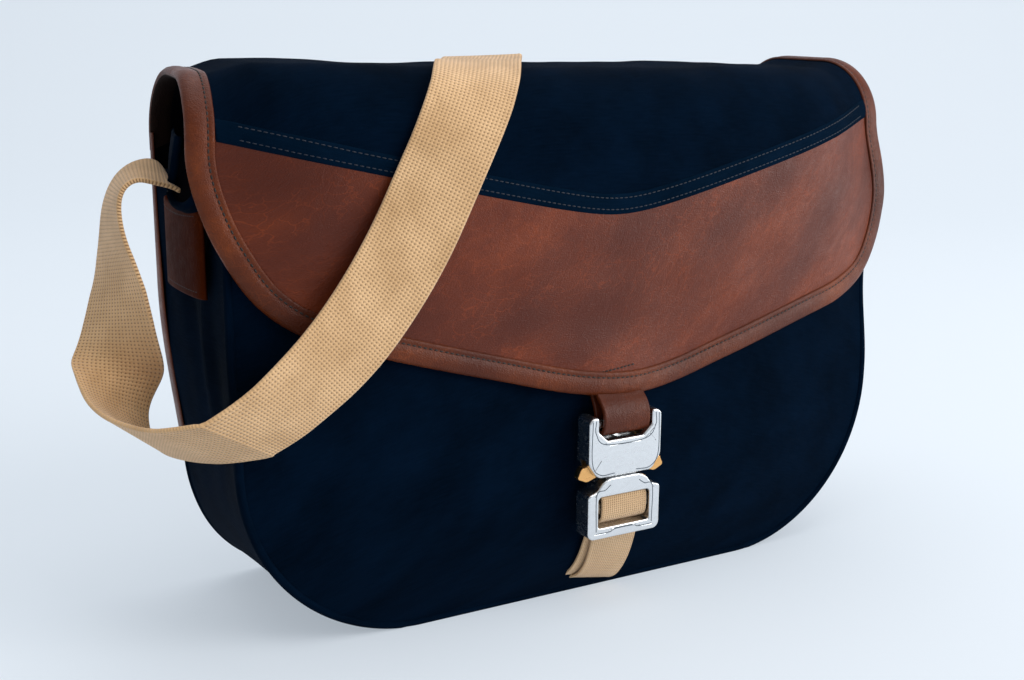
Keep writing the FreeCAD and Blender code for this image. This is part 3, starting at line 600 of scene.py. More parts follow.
def seam_path(radius=CORNER, side=40, turn=46, base=60):
    """The body's U-shaped seam from the left mouth to the right: x, z and outward direction."""
    middle = HALF - radius
    left = [(-HALF, z, -1, 0) for z in np.linspace(MOUTH, radius, side, endpoint=False)]
    corner = [(-middle - radius * np.cos(a), radius - radius * np.sin(a), -np.cos(a), -np.sin(a))
              for a in np.linspace(0, np.pi / 2, turn)]
    floor = [(x, 0, 0, -1) for x in np.linspace(-middle, middle, base + 2)[1:-1]]
    mirrored = [(-x, z, -nx, nz) for x, z, nx, nz in (left + corner)[::-1]]
    return np.array(left + corner + floor + mirrored)


def back_seam(base, turn, side):
    """The back's U-shaped seam, drawn in towards its foot."""
    path = seam_path(CORNER_BACK, side, turn, base)
    path[:, 0] *= 1 - drawn_in(path[:, 1]) / HALF
    return path


def gusset():
    """The strip of canvas round the sides and base, with soft bellows folds in its sides."""
    near_path, far_path = seam_path(), back_seam(60, 46, 40)
    depth = lipped(0, 1, 34, 0.015)
    share = np.broadcast_to(depth, (len(near_path), len(depth)))
    path = near_path[:, None] * (1 - share[..., None]) + far_path[:, None] * share[..., None]
    x, z, nx, nz = (path[..., i] for i in range(4))
    near = SEAM_FRONT + tuck(x, z) + 1.5
    far = SEAM_BACK - 2.5
    y = near + (far - near) * share
    side = smooth(30, 90, z) * np.ones_like(share)
    mouth = smooth(150, 207, z)
    belly = np.sin(np.pi * share)
    fold = 9 * mouth * np.exp(-((share - 0.5) / 0.2) ** 2)
    ridge = 2.4 * np.exp(-((share - 0.34 - 0.0006 * (150 - z)) / 0.06) ** 2)
    valley = 2.0 * np.exp(-((share - 0.6 + 0.0005 * (150 - z)) / 0.09) ** 2)
    crease = (ridge - valley) * smooth(60, 110, z) * (1 - mouth)
    sink = side * (2.5 * belly + fold - crease) + 0.6 * side * ripple(y * 1.5, z, 9, 45)
    sink = sink + 0.8 * (1 - side) * (nz > -0.99) * belly
    half = CANVAS_THICK / 2
    grid = np.stack([x - nx * (sink + half), y, z - nz * (sink * (nz > -0.99) + half)], axis=-1)
    piece = slab("gusset_canvas", grid[:, ::-1], CANVAS_THICK, NAVY, LINING)
    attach(piece, "bag")
    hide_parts("gusset_left", "gusset_right", "base_panel", "lining_left", "lining_right")


def back_panel():
    """The back: one soft panel whose upper edge lies inside the crown."""
    rows = np.concatenate([[0, 0.4, 1.2, 2.5], np.linspace(4, 60, 16), np.linspace(66, FOLD - 1, 26),
                           [FOLD - 0.5, FOLD]])
    across = lipped(-1, 1, 70, 0.008)
    z, u = np.meshgrid(rows, across, indexing="ij")
    x = u * (half_width(z, CORNER_BACK) - 0.6) * (1 - drawn_in(z) / HALF)
    soft = 1.2 * ripple(x, z, 5, 110) * (1 - np.abs(u) ** 4) * smooth(0, 40, z) * smooth(BACK_TOP, 190, z)
    grid = np.stack([x, SEAM_BACK - CANVAS_THICK / 2 + soft, z], axis=-1)
    piece = slab("back_canvas", grid, CANVAS_THICK, NAVY, LINING)
    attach(piece, "bag")
    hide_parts("back_panel", "lining_back")


def seam_roll(name, path, y_of, radius, out, *nodes):
    """A corded seam round the body: a soft roll along the U-shaped seam, clear of the floor."""
    lowest = 0.15
    turn = np.linspace(0, 2 * np.pi, 12, endpoint=False)
    x, z, nx, nz = (path[:, i][:, None] for i in range(4))
    y = y_of(x, z)
    cos, sin = np.cos(turn), np.sin(turn)
    reach = radius * cos - radius + out
    ring = np.stack([x + nx * reach, y + radius * sin + 0 * x, np.maximum(z + nz * reach, lowest)], axis=-1)
    piece = swept(name, ring, pairs(distances(path[:, :2])[:, None], (turn * radius)[None]), NAVY)
    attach(piece, "bag")
    if nodes:
        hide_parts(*nodes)


def back_binding():
    """Leather folded round the upright back seams."""
    z = lipped(CORNER_BACK + 8, BACK_TOP + 5, 60, 1.0)
    section = np.array([(-9.5, 66.0), (-0.4, 66.2), (0.5, 65.4), (0.9, 63.6), (0.9, 61.6), (0.6, 60.4),
                        (0.1, 60.2), (-0.2, 62), (-0.9, 64.2), (-9.5, 64.6)])
    uv = pairs(z[:, None], np.arange(len(section))[None] * 2.5)
    for side, word in ((-1, "left"), (1, "right")):
        x = side * (half_width(z, CORNER_BACK)[:, None] - drawn_in(z)[:, None] + section[:, 0])
        reach = 1 + 0.75 * smooth(200, 130, z)[:, None]
        y = 66 - (66 - section[:, 1]) * np.where(section[:, 0] > -1, reach, 1)
        ring = np.stack([x, y, np.broadcast_to(z[:, None], x.shape)], axis=-1)
        if side > 0:
            ring = ring[:, ::-1]
        piece = swept("back_binding_" + word + "_leather", ring, uv, TRIM_LEATHER)
        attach(piece, "bag")
        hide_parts("back_binding_" + word)


def keeper_dome(share):
    """How far a keeper stands off the gusset, by its share of the way across."""
    return 0.9 + KEEPER_RISE * np.maximum(np.sin(np.pi * np.clip(share, 0, 1)), 0) ** 0.3


def keepers():
    """Leather keepers on the gussets, domed over the strap, with stitching above and below."""
    for side, word in ((-1, "left"), (1, "right")):
        low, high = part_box("strap_keeper_" + word)
        y0, y1, z0, z1 = low.y / MM - 1.5, high.y / MM + 1.5, low.z / MM, high.z / MM
        z, y = np.meshgrid(lipped(z0, z1, 26, 1.0), lipped(y0, y1, 30, 1.0), indexing="ij")
        t = (y - y0) / (y1 - y0)
        x = side * (HALF + keeper_dome(t))
        z = z - KEEPER_SAG * np.sin(np.pi * t) * (z - z0) / (z1 - z0)
        grid = np.stack([x, y, z], axis=-1)
        if side > 0:
            grid = grid[:, ::-1]
        # painted shade: the keepers wear the darker copy of the trim leather
        piece = slab("keeper_" + word + "_leather", grid, 1.6, SHADED_KEEPER_LEATHER)
        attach(piece, "bag")
        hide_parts("strap_keeper_" + word)
        for row, at in (("top", z1 - 3.4), ("low", z0 + 3.0)):
            ys = np.linspace(y0 + 3, y1 - 3, 40)
            t = (ys - y0) / (y1 - y0)
            xs = side * (HALF + keeper_dome(t) + 0.75)
            zs = at - KEEPER_SAG * np.sin(np.pi * t) * (at - z0) / (z1 - z0)
            path = np.stack([xs, ys, zs], axis=1)
            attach(stitches("keeper_" + word + "_" + row + "_stitches", path,
                             np.tile([float(side), 0, 0], (40, 1)), THREAD, 2.4, 1.6, 0.36), "bag")


# ---------------------------------------------------------------- flap
def crown_puff(x, run, back):
    """How far the crown's canvas stands off its surface: slack at the right, flat at the bindings."""
    top = smooth(0, 45, run) * smooth(back, back - 55, run)
    ends = smooth(60, 140, np.abs(x))
    return top * (-1.0 - 0.013 * x + (1.2 - 0.011 * x) * ends) * smooth(171, 152, np.abs(x))


def flap_canvas():
    """The crown's canvas from the back seam over the top to the hemmed V."""
    across = lipped(-1, 1, 110, 0.006)
    share = lipped(0, 1, 90, 0.006)
    s, u = np.meshgrid(share, across, indexing="ij")
    wide = FLAP_HALF - 8
    back, front = crown_run(u * wide) + BACK_DROP, yoke_run(u * wide) + 1.5
    run = back + (front - back) * s
    x = u * (crown_half(run, u) - 8)
    puff = crown_puff(x, run, back)
    wave = 0.9 * ripple(x, run, 11, 80) + 0.5 * ripple(x, run, 12, 34)
    grid = flap_surface(x, run, 2.2 + puff + wave * smooth(0, 0.1, s) * smooth(1, 0.85, s) * 0.6)
    piece = slab("crown_and_yoke_canvas", grid, 1.6, NAVY, LINING)
    flap_piece(piece, "crown_canvas", "flap_yoke")


def yoke_hem():
    """The hem along the V: a doubled strip of the same canvas, with two rows of stitches."""
    across = lipped(-1, 1, 110, 0.006)
    strip = lipped(0, 1, 10, 0.09)
    s, x = np.meshgrid(strip, across * (FLAP_HALF - 7), indexing="ij")
    run = yoke_run(x) + 9.5 * s
    grid = flap_surface(x, run[::-1], 2.55 + 0.5 * np.sin(np.pi * s))
    hem = slab("yoke_hem", grid, 1.5, HEM_NAVY)
    flap_piece(hem)
    for row, above in (("low", 2.4), ("high", 7.6)):
        xs = np.linspace(-168, 168, 240)
        flap_stitches("yoke_" + row + "_stitches", xs, yoke_run(xs) + above, 3.75, NAVY_THREAD,
                      2.6, 1.8, 0.3, 0.05)


def leather_panel():
    """The leather front of the flap, between the V and the edge."""
    inner = EDGE + EDGE_IN * 7.5
    keep = (inner[:, 1] < yoke_run(inner[:, 0]) + 6)
    low = inner[keep]
    count = 120
    pick = np.linspace(0, len(low) - 1, count)
    low = np.stack([np.interp(pick, np.arange(len(low)), low[:, i]) for i in range(2)], axis=1)
    even = np.linspace(low[0, 0], low[-1, 0], count)
    top_x = 0.7 * low[:, 0] + 0.3 * even
    high = np.stack([top_x, yoke_run(top_x) + 6], axis=1)
    share = lipped(0, 1, 40, 0.012)[:, None, None]
    flat = high[None] * (1 - share) + low[None] * share
    x, run = flat[..., 0], flat[..., 1]
    wave = 0.5 * ripple(x, run, 21, 70) + 0.35 * ripple(x * 1.6, run, 22, 30)
    grid = flap_surface(x, run, 2.0 + 0.8 * wave * np.sin(np.pi * share[..., 0]))
    piece = slab("flap_leather", grid, 2.0, FLAP_LEATHER, LINING)
    flap_piece(piece, "flap_leather_panel")


def flap_lining():
    """The lining inside the flap, from the back seam to the edge."""
    across = lipped(-1, 1, 70, 0.006)
    share = lipped(0, 1, 70, 0.006)
    s, u = np.meshgrid(share, across, indexing="ij")
    inner = EDGE + EDGE_IN * 8
    low = inner[np.argsort(inner[:, 0])]
    low = low[low[:, 1] < -5]
    wide = FLAP_HALF - 9
    bottom = np.interp(u * wide, low[:, 0], low[:, 1])
    back = crown_run(u * wide) + BACK_DROP
    run = back + (bottom - back) * s
    x = u * (crown_half(run, u) - 9)
    grid = flap_surface(x, run, 0.6 + np.minimum(crown_puff(x, run, back), 0) - 0.5 * smooth(0, 30, run))
    piece = slab("flap_lining_cloth", grid, 0.8, LINING, LINING)
    flap_piece(piece, "crown_lining", "flap_lining")


def paint_shade_on_underside(piece, around, first, last):
    """Give the faces between two points of a swept section the flesh side of the leather, darkened well
    past its own colour as painted shade for the shadow under the binding.
    """
    piece.data.materials.append(SHADED_FLESH_LEATHER)
    for i, face in enumerate(piece.data.polygons):
        if len(face.vertices) == 4 and first <= i % around < last:
            face.material_index = 1


def flap_binding():
    """The leather binding folded over the flap's edge, with a stitched groove."""
    section = np.array([(0.0, 2.4), (0.5, 3.7), (1.9, 4.6), (3.9, 4.9), (6.0, 4.75), (7.6, 4.3), (8.5, 3.8),
                        (9.3, 4.05), (10.4, 4.1), (11.1, 3.7), (11.3, 3.0), (10.8, 1.4), (10.4, -0.1),
                        (7.0, -0.3), (3.5, -0.2), (1.2, 0.2), (0.3, 1.2)])
    place = EDGE[:, None] + EDGE_IN[:, None] * section[None, :, :1]
    even = np.arange(len(EDGE)) * 2.0
    plump = 1 + 0.03 * ripple(even, even * 0, 31, 60)[:, None]
    rings = flap_surface(place[..., 0], place[..., 1], section[None, :, 1] * plump)
    uv = pairs(even[:, None], distances(section)[None])
    piece = swept("flap_binding_leather", rings, uv, TRIM_LEATHER)
    # painted shade: the underside faces take the very dark flesh-side leather
    paint_shade_on_underside(piece, len(section), 10, 16)
    flap_piece(piece, "flap_binding", "crown_binding_left", "crown_binding_right")
    line = EDGE + EDGE_IN * 8.6
    flap_stitches("flap_binding_stitches", line[:, 0], line[:, 1], 4.0, THREAD)


def bartack():
    """The short row of stitches that holds the closure tab's tongue."""
    xs = np.linspace(-15, 10, 20)
    run = np.full_like(xs, 115 - FOLD) + 0.1 * xs
    flap_stitches("tab_bartack", xs, run, 3.2, THREAD, 2.1, 1.6, 0.4)


# ---------------------------------------------------------------- shoulder strap
STRAP_WIDTH = 38.0
STRAP_THICK = 2.0
STRAP_HINGE = (-0.0013, 0.069, 0.2155)       # where the back stretch leaves the crown
LEAST_SLANT = 0.7                            # webbing aslant its run is widened, but no more than this
# The strap's route, as in the CAD: where its middle runs, and the direction of its width there.
STRAP_LOOP = [
    ((-0.1776, 0.0145, 0.16), (0, -1, 0)),
    ((-0.1776, 0.0145, 0.196), (0, -1, 0)),
    ((-0.1825, 0.0145, 0.204), (-0.15, -0.98, -0.06)),
    ((-0.19, 0.0135, 0.209), (-0.28, -0.95, -0.15)),
    ((-0.199, 0.0125, 0.2095), (-0.22, -0.97, -0.06)),
    ((-0.206, 0.012, 0.205), (-0.18, -0.98, 0)),
    ((-0.2105, 0.0095, 0.196), (-0.1, -0.98, 0.1)),
    ((-0.212, 0.005, 0.182), (0, -0.98, 0.18)),
    ((-0.212, 0, 0.168), (0.22, -0.95, 0.2)),
    ((-0.212, 0.002, 0.153), (0.42, -0.89, 0.17)),
    ((-0.212, 0.004, 0.1415), (0.6, -0.8, 0.1)),
    ((-0.212, 0.005, 0.132), (0.83, -0.55, -0.05)),
    ((-0.213, 0.005, 0.1235), (0.95, 0.1, -0.28)),
    ((-0.2155, 0.002, 0.116), (0.83, 0.36, -0.43)),
    ((-0.216, -0.0035, 0.11), (0.76, 0.36, -0.54)),
    ((-0.215, -0.01, 0.106), (0.73, 0.33, -0.6)),
    ((-0.212, -0.018, 0.1035), (0.72, 0.33, -0.6)),
    ((-0.2075, -0.026, 0.1025), (0.72, 0.36, -0.59)),
    ((-0.2025, -0.035, 0.1025), (0.72, 0.38, -0.57)),
    ((-0.195, -0.0445, 0.1035), (0.74, 0.36, -0.56)),
    ((-0.181, -0.0515, 0.106), (0.82, 0.3, -0.5)),
]
STRAP_FRONT = [
    ((-0.181, -0.0515, 0.106), (0.82, 0.3, -0.5)),
    ((-0.1683, -0.0548, 0.1128), (0.76, 0.3, -0.57)),
    ((-0.152, -0.056, 0.1255), (0.7, 0.22, -0.66)),
    ((-0.1405, -0.056, 0.135), (0.7, 0.13, -0.7)),
    ((-0.1285, -0.0556, 0.147), (0.72, 0.04, -0.69)),
    ((-0.115, -0.0552, 0.164), (0.76, -0.02, -0.65)),
    ((-0.1025, -0.0547, 0.183), (0.79, -0.08, -0.6)),
    ((-0.0925, -0.0539, 0.2015), (0.86, -0.1, -0.5)),
    ((-0.084, -0.0536, 0.218), (0.92, -0.08, -0.4)),
]
STRAP_OVER = [
    ((-0.084, -0.0536, 0.218), (0.92, -0.08, -0.4)),
    ((-0.0735, -0.0512, 0.2368), (0.93, -0.12, -0.34)),
    ((-0.063, -0.0386, 0.2502), (0.92, -0.28, -0.24)),
    ((-0.052, -0.0195, 0.2537), (0.91, -0.42, 0)),
    ((-0.038, 0.004, 0.2525), (0.91, -0.42, 0)),
    ((-0.026, 0.024, 0.2529), (0.92, -0.4, 0)),
    ((-0.0195, 0.0345, 0.2534), (0.93, -0.36, 0.05)),
    ((-0.0125, 0.0505, 0.249), (0.95, -0.25, 0.15)),
    ((-0.0065, 0.0635, 0.2363), (0.97, -0.12, 0.2)),
    ((-0.0015, 0.069, 0.22), (0.98, 0, 0.15)),
]
STRAP_BACK = [
    ((-0.0015, 0.069, 0.22), (0.98, 0, 0.15)),
    ((0.0035, 0.07, 0.19), (0.98, 0, 0.15)),
    ((0.009, 0.071, 0.15), (0.97, 0, 0.22)),
    ((0.02, 0.071, 0.108), (0.9, 0, 0.42)),
    ((0.045, 0.071, 0.074), (0.66, 0, 0.75)),
    ((0.082, 0.071, 0.06), (0.2, 0, 0.98)),
    ((0.12, 0.072, 0.07), (-0.36, 0, 0.93)),
    ((0.154, 0.074, 0.096), (-0.72, 0, 0.69)),
    ((0.18, 0.073, 0.13), (-0.85, 0.2, 0.48)),
    ((0.199, 0.06, 0.165), (-0.7, 0.68, 0.25)),
    ((0.207, 0.041, 0.194), (-0.35, 0.93, 0.1)),
    ((0.204, 0.025, 0.213), (-0.1, 0.99, 0)),
    ((0.193, 0.017, 0.218), (0, 1, 0)),
    ((0.182, 0.015, 0.21), (0, 1, 0)),
    ((0.1776, 0.0145, 0.196), (0, 1, 0)),
    ((0.1776, 0.0145, 0.16), (0, 1, 0)),
]


def spline_points(points):
    """Points read from the smooth NURBS line with the given control points, in metres."""
    curve = bpy.data.curves.new("route", "CURVE")
    curve.dimensions = "3D"
    curve.resolution_u = 12
    spline = curve.splines.new("NURBS")
    spline.points.add(len(points) - 1)
    for target, point in zip(spline.points, points):
        target.co = (*point, 1)
    spline.order_u = 3
    spline.use_endpoint_u = True
    holder = bpy.data.objects.new("route", curve)
    mesh = bpy.data.meshes.new_from_object(holder)
    found = np.array([v.co for v in mesh.vertices], float)
    bpy.data.objects.remove(holder)
    bpy.data.curves.remove(curve)
    bpy.data.meshes.remove(mesh)
    return found


def ribbon(name, route, length_before=0.0, width=STRAP_WIDTH, thick=STRAP_THICK, made=WEBBING,
           ends=(None, None)):
    """Webbing along a route, with rounded selvedges; returns it, its middle line and its far length.

    ends are the directions that it starts and ends in, where it meets another stretch.
    """
    middle = spline_points([p for p, _ in route])
    wide = spline_points([tuple(Vector(p) + Vector(w).normalized() * 0.02) for p, w in route]) - middle
    along = np.gradient(middle, axis=0)
    for index, direction in zip((0, -1), ends):
        if direction is not None:
            along[index] = direction
    wide = unit(wide)
    face = np.cross(unit(along), wide)
    slant = np.linalg.norm(face, axis=1, keepdims=True)
    face /= slant
    wide = wide / np.maximum(slant, LEAST_SLANT)
    half, deep = width / 2, thick / 2
    edge = np.array([(1.0, 0.0), (0.995, 0.55), (0.975, 0.9), (0.94, 1.05), (0.9, 0.95)])
    flat = np.linspace(0.8, -0.8, 17)
    top = [(a, d) for a, d in edge] + [(a, 0.95) for a in flat] + [(-a, d) for a, d in edge[::-1]]
    ring = np.array(top + [(a, -d) for a, d in top[-2:0:-1]])
    rings = (middle[:, None] / MM + wide[:, None] * (ring[None, :, :1] * half)
             + face[:, None] * (ring[None, :, 1:] * deep))
    run = distances(middle / MM) + length_before
    piece = swept(name, rings, pairs((ring[:, 0] * half)[None], run[:, None]), made)
    return piece, middle, run[-1]


def strap():
    """The four stretches of the shoulder strap; the first and last hang free."""
    run = 0.0
    stretches = (("loop", STRAP_LOOP, "bag", "flap_crown", STRAP_LOOP[1][0], STRAP_LOOP[-3][0]),
                 ("front", STRAP_FRONT, "flap_crown", "flap_front", STRAP_FRONT[0][0], STRAP_FRONT[3][0]),
                 ("over", STRAP_OVER, "flap_crown", "flap_front", FLAP_BLEND["start"], FLAP_BLEND["end"]),
                 ("back", STRAP_BACK, "flap_crown", "bag", STRAP_BACK[0][0], STRAP_HINGE))
    joints = [None] + [np.subtract(after[1][1][0], before[1][-2][0])
                       for before, after in zip(stretches, stretches[1:])] + [None]
    lines = {}
    for number, (word, route, first, second, start, end) in enumerate(stretches):
        piece, line, run = ribbon("strap_" + word + "_webbing", route, run, ends=joints[number:number + 2])
        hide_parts("strap_" + word)
        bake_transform(piece)
        lines[word] = (piece, line)
    loop, line = lines["loop"]
    back, line = lines["back"]


# ---------------------------------------------------------------- closure
# The closure webbing: up behind the plug's bar, over it and down again to the base.
CLOSURE = [
    ((-0.0040, -0.0370, 0.0066), (0.96, 0.1, -0.22)),
    ((-0.0025, -0.0410, 0.0098), (0.96, 0.1, -0.22)),
    ((0.0002, -0.0452, 0.0185), (0.98, 0.05, -0.15)),
    ((0.0012, -0.0500, 0.0310), (1, 0, -0.05)),
    ((0.0008, -0.0530, 0.0385), (1, 0, -0.03)),
    ((0.0006, -0.0560, 0.0450), (1, 0, 0)),
    ((0.001, -0.0576, 0.050), (1, 0, 0)),
    ((0.001, -0.0576, 0.055), (1, 0, 0)),
    ((0.001, -0.059, 0.0572), (1, 0, 0)),
    ((0.001, -0.063, 0.0572), (1, 0, 0)),
    ((0.001, -0.0646, 0.055), (1, 0, 0)),
    ((0.001, -0.0646, 0.0475), (1, 0, 0)),
    ((0.001, -0.0632, 0.0442), (1, 0, 0)),
    ((0.0014, -0.0585, 0.0425), (1, 0, 0)),
    ((0.0024, -0.0556, 0.0385), (1, 0, -0.03)),
    ((0.0040, -0.0522, 0.0310), (1, 0, -0.06)),
    ((0.0042, -0.0474, 0.0180), (0.98, 0.05, -0.16)),
    ((0.0022, -0.0434, 0.0092), (0.96, 0.1, -0.22)),
    ((0.0002, -0.0394, 0.0056), (0.96, 0.1, -0.22)),
    ((-0.0012, -0.0350, 0.0050), (0.96, 0.1, -0.22)),
]
# The closure tab: from behind the flap's tip, forward and round the socket's cross bar, and back up.
TAB = [
    (-0.0538, 0.118), (-0.0545, 0.108), (-0.0590, 0.1025), (-0.0628, 0.0995), (-0.0648, 0.0955),
    (-0.0650, 0.0900), (-0.0634, 0.0868), (-0.0605, 0.0860), (-0.0578, 0.0875), (-0.0572, 0.0910),
    (-0.0570, 0.0950), (-0.0560, 0.0985), (-0.0530, 0.1030), (-0.0522, 0.110),
]
# Lines cut into the buckle's faces, as x and z in millimetres; each rim has its mirror image too.
SOCKET_RIM = [(-18.4, 94), (-18.4, 74.4), (-14, 68.2), (-6, 68.0)]
SOCKET_NOTCH = [(-16.6, 94.2), (-16.6, 88.2), (-11, 82.4), (11, 82.4), (16.6, 88.2), (16.6, 94.2)]
PLUG_RIM = [(-15.6, 40.6), (-15.6, 58.4), (-11, 60.4), (-8, 62.6)]
PLUG_FOOT = [(-15.6, 39.6), (-8, 39.6), (-5, 40.6), (5, 40.6), (8, 39.6), (15.6, 39.6)]


def closure_webbing():
    """The closure's webbing, from the base up round the plug's bar and down again."""
    piece, _, _ = ribbon("closure_webbing_weave", CLOSURE, 0.0, 25.0, 1.4, CLOSURE_WEAVE)
    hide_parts("closure_webbing")
    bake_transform(piece)


def groove(name, line, body):
    """A thin dark line let into a buckle face: painted shade standing for the shadow in a cut groove."""
    even = spline_through(line, 0.8)
    front = cad("buckle_plug", 0, "y") - 0.02
    place = np.stack([even[:, 0], np.full(len(even), front), even[:, 1]], axis=1)
    side = inward(even)
    across = np.stack([side[:, 0], 0 * side[:, 0], side[:, 1]], axis=1)
    turn = np.linspace(0, 2 * np.pi, 6, endpoint=False)
    ring = (place[:, None] + across[:, None] * (0.22 * np.cos(turn))[None, :, None]
            + np.array([0, 1.0, 0]) * (0.06 * np.sin(turn))[None, :, None])
    cut = swept(name, ring, np.zeros(ring.shape[:2] + (2,)), GROOVE_SHADE)
    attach(cut, body)


def grooves():
    """The lines on the buckle's two halves."""
    for word, rim, middle, body in (("socket", SOCKET_RIM, SOCKET_NOTCH, "flap_front"),
                                    ("plug", PLUG_RIM, PLUG_FOOT, "plug")):
        for number, line in enumerate((rim, [(-x, z) for x, z in rim], middle)):
            groove(f"{word}_line_{number}", line, body)


def closure_tab():
    """The leather tab that holds the socket."""
    route = [((0.0012, y, z), (1, 0, 0)) for y, z in TAB]
    tab, _, _ = ribbon("closure_tab_leather", route, 0.0, 25.4, 2.2, TRIM_LEATHER)
    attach(tab, "flap_front")
    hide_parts("closure_tab")


# ---------------------------------------------------------------- inside the bag
def inner_pocket():
    """The pocket on the back lining: a cloth front with a hemmed mouth, and two rows of stitches."""
    low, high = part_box("inner_pocket")
    x0, x1, y0, y1, z0, z1 = (v / MM for v in (low.x, high.x, low.y, high.y, low.z, high.z))
    z, x = np.meshgrid(lipped(z0, z1, 40, 1.0), lipped(x0, x1, 50, 1.0), indexing="ij")
    side = smooth(0, 0.12, (x - x0) / (x1 - x0)) * smooth(1, 0.88, (x - x0) / (x1 - x0))
    rise = smooth(0, 0.2, (z - z0) / (z1 - z0))
    y = y1 - 1.0 - (y1 - y0 - 2.2) * side * rise - 0.5 * ripple(x, z, 41, 60) * side * rise
    piece = slab("pocket_front", np.stack([x, y, z], axis=-1)[:, ::-1], 1.2, POCKET_CLOTH)
    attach(piece, "bag")
    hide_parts("inner_pocket")
    for row, drop in (("hem", 10), ("edge", 2.5)):
        path = np.stack([x[-1], np.interp(z1 - drop, z[:, 0], y[:, 25]) * side[-1]
                         + (y1 - 1.0) * (1 - side[-1]) - 0.65, np.full_like(x[-1], z1 - drop)], axis=1)
        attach(stitches("pocket_" + row + "_stitches", path, np.tile([0, -1.0, 0], (len(path), 1)),
                         NAVY_THREAD, 2.8, 1.9, 0.3), "bag")


# The cuff's free edge, the line where it leaves the gusset, and the bottom of its hollow.
CUFF_RIM = [(-184, -3, 224), (-186, -4.5, 217), (-186.5, -1, 209), (-186.5, 4, 201), (-186.3, -2, 196.5),
            (-185, -11, 196.5), (-182.5, -17, 201), (-179.5, -19, 209), (-178, -20, 222)]
CUFF_ROOT = [(-177, 26, 226), (-177.5, 30, 216), (-178, 32, 206), (-180.3, 24, 195.5), (-181.4, 8, 193),
             (-181.4, -6, 193), (-179, -14, 196), (-177, -19, 208), (-176.5, -20, 222)]
CUFF_PIT = (-181.5, -8, 212)


def cuff():
    """The left gusset's loose cloth, turned out into a soft cuff over the strap above its keeper."""
    even = np.linspace(0, 1, 60)
    rim, root = (np.stack([np.interp(even, np.linspace(0, 1, len(line)), column) for column in line.T], 1)
                 for line in (spline_through(CUFF_RIM, 1.0), spline_through(CUFF_ROOT, 1.0)))
    share = np.linspace(0, 1, 14)[:, None, None]
    sheet = root * (1 - share) + rim * share
    sheet[..., 0] -= 0.8 * np.sin(np.pi * share[..., 0])
    pit = rim * (1 - share) + np.array(CUFF_PIT) * share
    turn = np.linspace(0, 2 * np.pi, 10, endpoint=False)
    radius = 1.9
    along = unit(np.gradient(rim, axis=0))
    outward = np.cross(along, [0.0, 0.0, 1.0])
    outward = np.where(np.linalg.norm(outward, axis=1, keepdims=True) > 0.2, outward, [[-1.0, 0, 0]])
    outward = unit(outward)
    square = np.cross(along, outward)
    roll = (rim[:, None] + outward[:, None] * (radius * np.cos(turn))[None, :, None]
            + square[:, None] * (radius * np.sin(turn))[None, :, None])
    uv = pairs((even * 90)[:, None], (turn * radius)[None])
    for piece in (slab("cuff_cloth", sheet, 1.5, NAVY), slab("cuff_inside", pit, 0.6, LINING),
                  swept("cuff_edge", roll, uv, NAVY)):
        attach(piece, "bag")


# ---------------------------------------------------------------- CAD pieces that show
def dress():
    """Materials and softened edges for the CAD nodes that are shown as they are."""
    looks = {SILVER: ("socket_front", "socket_back", "socket_cross_bar", "buckle_plug", "adjuster_bar"),
             BRASS: ("release_clip_left", "release_clip_right"),
             STEEL: ("clip_spring_left", "clip_spring_right"),
             BOARD: ("base_stiffener",)}
    for made, names in looks.items():
        for name in names:
            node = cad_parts[name]
            for place in node.material_slots:
                place.material = made
            if made in (SILVER, BRASS):
                edge = node.modifiers.new("edge", "BEVEL")
                edge.width = 0.00035
                edge.segments = 2
                edge.limit_method = "ANGLE"
                edge.angle_limit = math.radians(38)
                edge.harden_normals = True


# ---------------------------------------------------------------- stage
def area_light(name, place, target, size, power):
    """A soft white panel turned towards its target; size in metres, power in watts."""
    lamp = bpy.data.lights.new(name, "AREA")
    lamp.shape = "RECTANGLE"
    lamp.size, lamp.size_y = size
    lamp.energy = power
    holder = placed(name, lamp)
    holder.location = place
    holder.rotation_euler = (Vector(target) - Vector(place)).to_track_quat("-Z", "Y").to_euler()


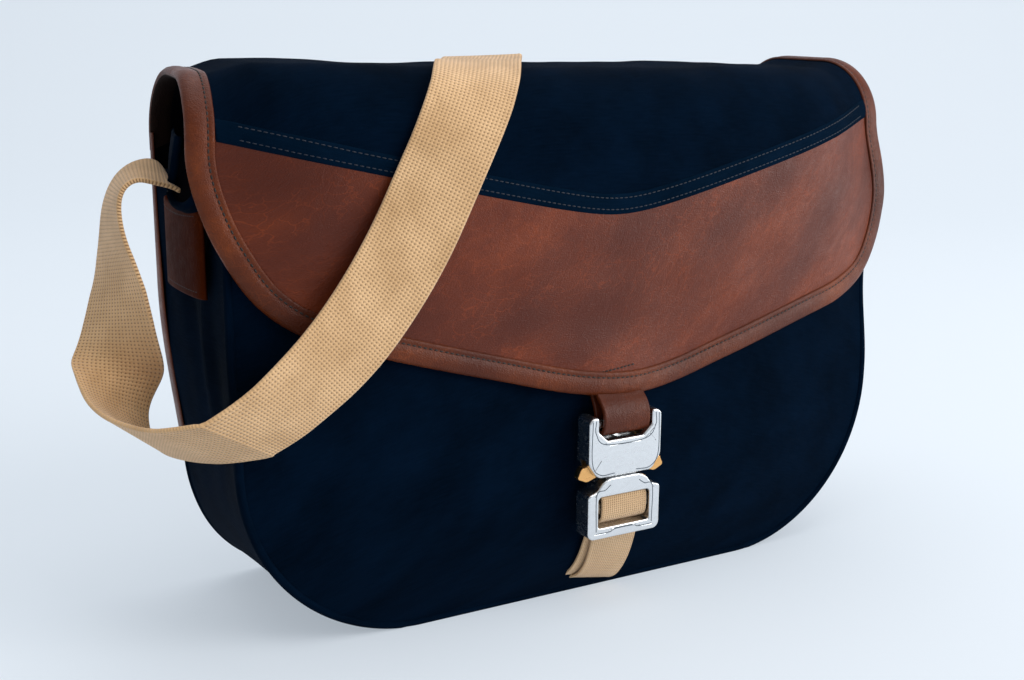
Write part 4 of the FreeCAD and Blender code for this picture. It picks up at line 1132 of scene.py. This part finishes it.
def stage():
    """A pale paper sweep, a studio world and three soft lights."""
    run = [(-3.0, 0.0), (1.2, 0.0)]
    turn = [(1.2 + 1.2 * math.sin(a), 1.2 - 1.2 * math.cos(a)) for a in np.linspace(0.1, math.pi / 2, 12)]
    profile = run + turn + [(2.4, 4.0)]
    points = [(x, y, z) for y, z in profile for x in (-4.0, 5.0)]
    faces = [(2 * i, 2 * i + 1, 2 * i + 3, 2 * i + 2) for i in range(len(profile) - 1)]
    mesh = bpy.data.meshes.new("sweep")
    mesh.from_pydata(points, [], faces)
    mesh.polygons.foreach_set("use_smooth", np.ones(len(mesh.polygons), bool))
    made = material("paper_sweep", (0.42, 0.44, 0.46), 0.9, Emission_Strength=1.0)
    made.node_tree.nodes["Principled BSDF"].inputs["Emission Color"].default_value = (0.345, 0.385, 0.43, 1)
    mesh.materials.append(made)
    sweep = placed("sweep", mesh)
    sweep.matrix_world = Matrix.Rotation(-0.5292, 4, "Z")  # square to the camera's view

    world = bpy.data.worlds.new("studio")
    bpy.context.scene.world = world
    world.use_nodes = True
    background = world.node_tree.nodes["Background"]
    background.inputs["Color"].default_value = (0.9, 0.95, 1.0, 1)
    background.inputs["Strength"].default_value = 0.5
    area_light("key", (1.3, -1.8, 1.4), (0.05, 0, 0.12), (1.5, 1.5), 34)
    area_light("top", (0.2, 0.2, 2.4), (0, 0.1, 0), (2.4, 2.4), 26)
    area_light("right", (1.45, -0.95, 0.3), (0.1, -0.05, 0.15), (1.0, 0.5), 9)


def camera():
    """The viewpoint: from the front left, a little above the bag."""
    view = bpy.data.cameras.new("camera")
    view.lens = 50.03
    view.sensor_width = 36
    holder = placed("camera", view)
    aim = Vector((0.49126, 0.84000, -0.23034))
    holder.rotation_mode = "QUATERNION"
    holder.rotation_quaternion = aim.to_track_quat("-Z", "Y") @ Quaternion((0, 0, 1), 0.0063)
    holder.location = (-0.36285, -0.58198, 0.27872)
    bpy.context.scene.camera = holder


# ---------------------------------------------------------------- build
camera()
stage()
front_panel()
gusset()
back_panel()
seam_roll("front_seam_roll", seam_path(CORNER, 56, 60, 80), lambda x, z: SEAM_FRONT + tuck(x, z) + 0.5,
          2.0, 0.9, "front_piping")
seam_roll("back_seam_roll", back_seam(80, 60, 56), lambda x, z: SEAM_BACK - 0.6 + 0 * x, 1.7, 0.6)
back_binding()
keepers()
flap_canvas()
yoke_hem()
leather_panel()
flap_lining()
flap_binding()
bartack()
strap()
closure_webbing()
grooves()
closure_tab()
inner_pocket()
cuff()
dress()

bpy.context.scene.view_settings.view_transform = "Standard"
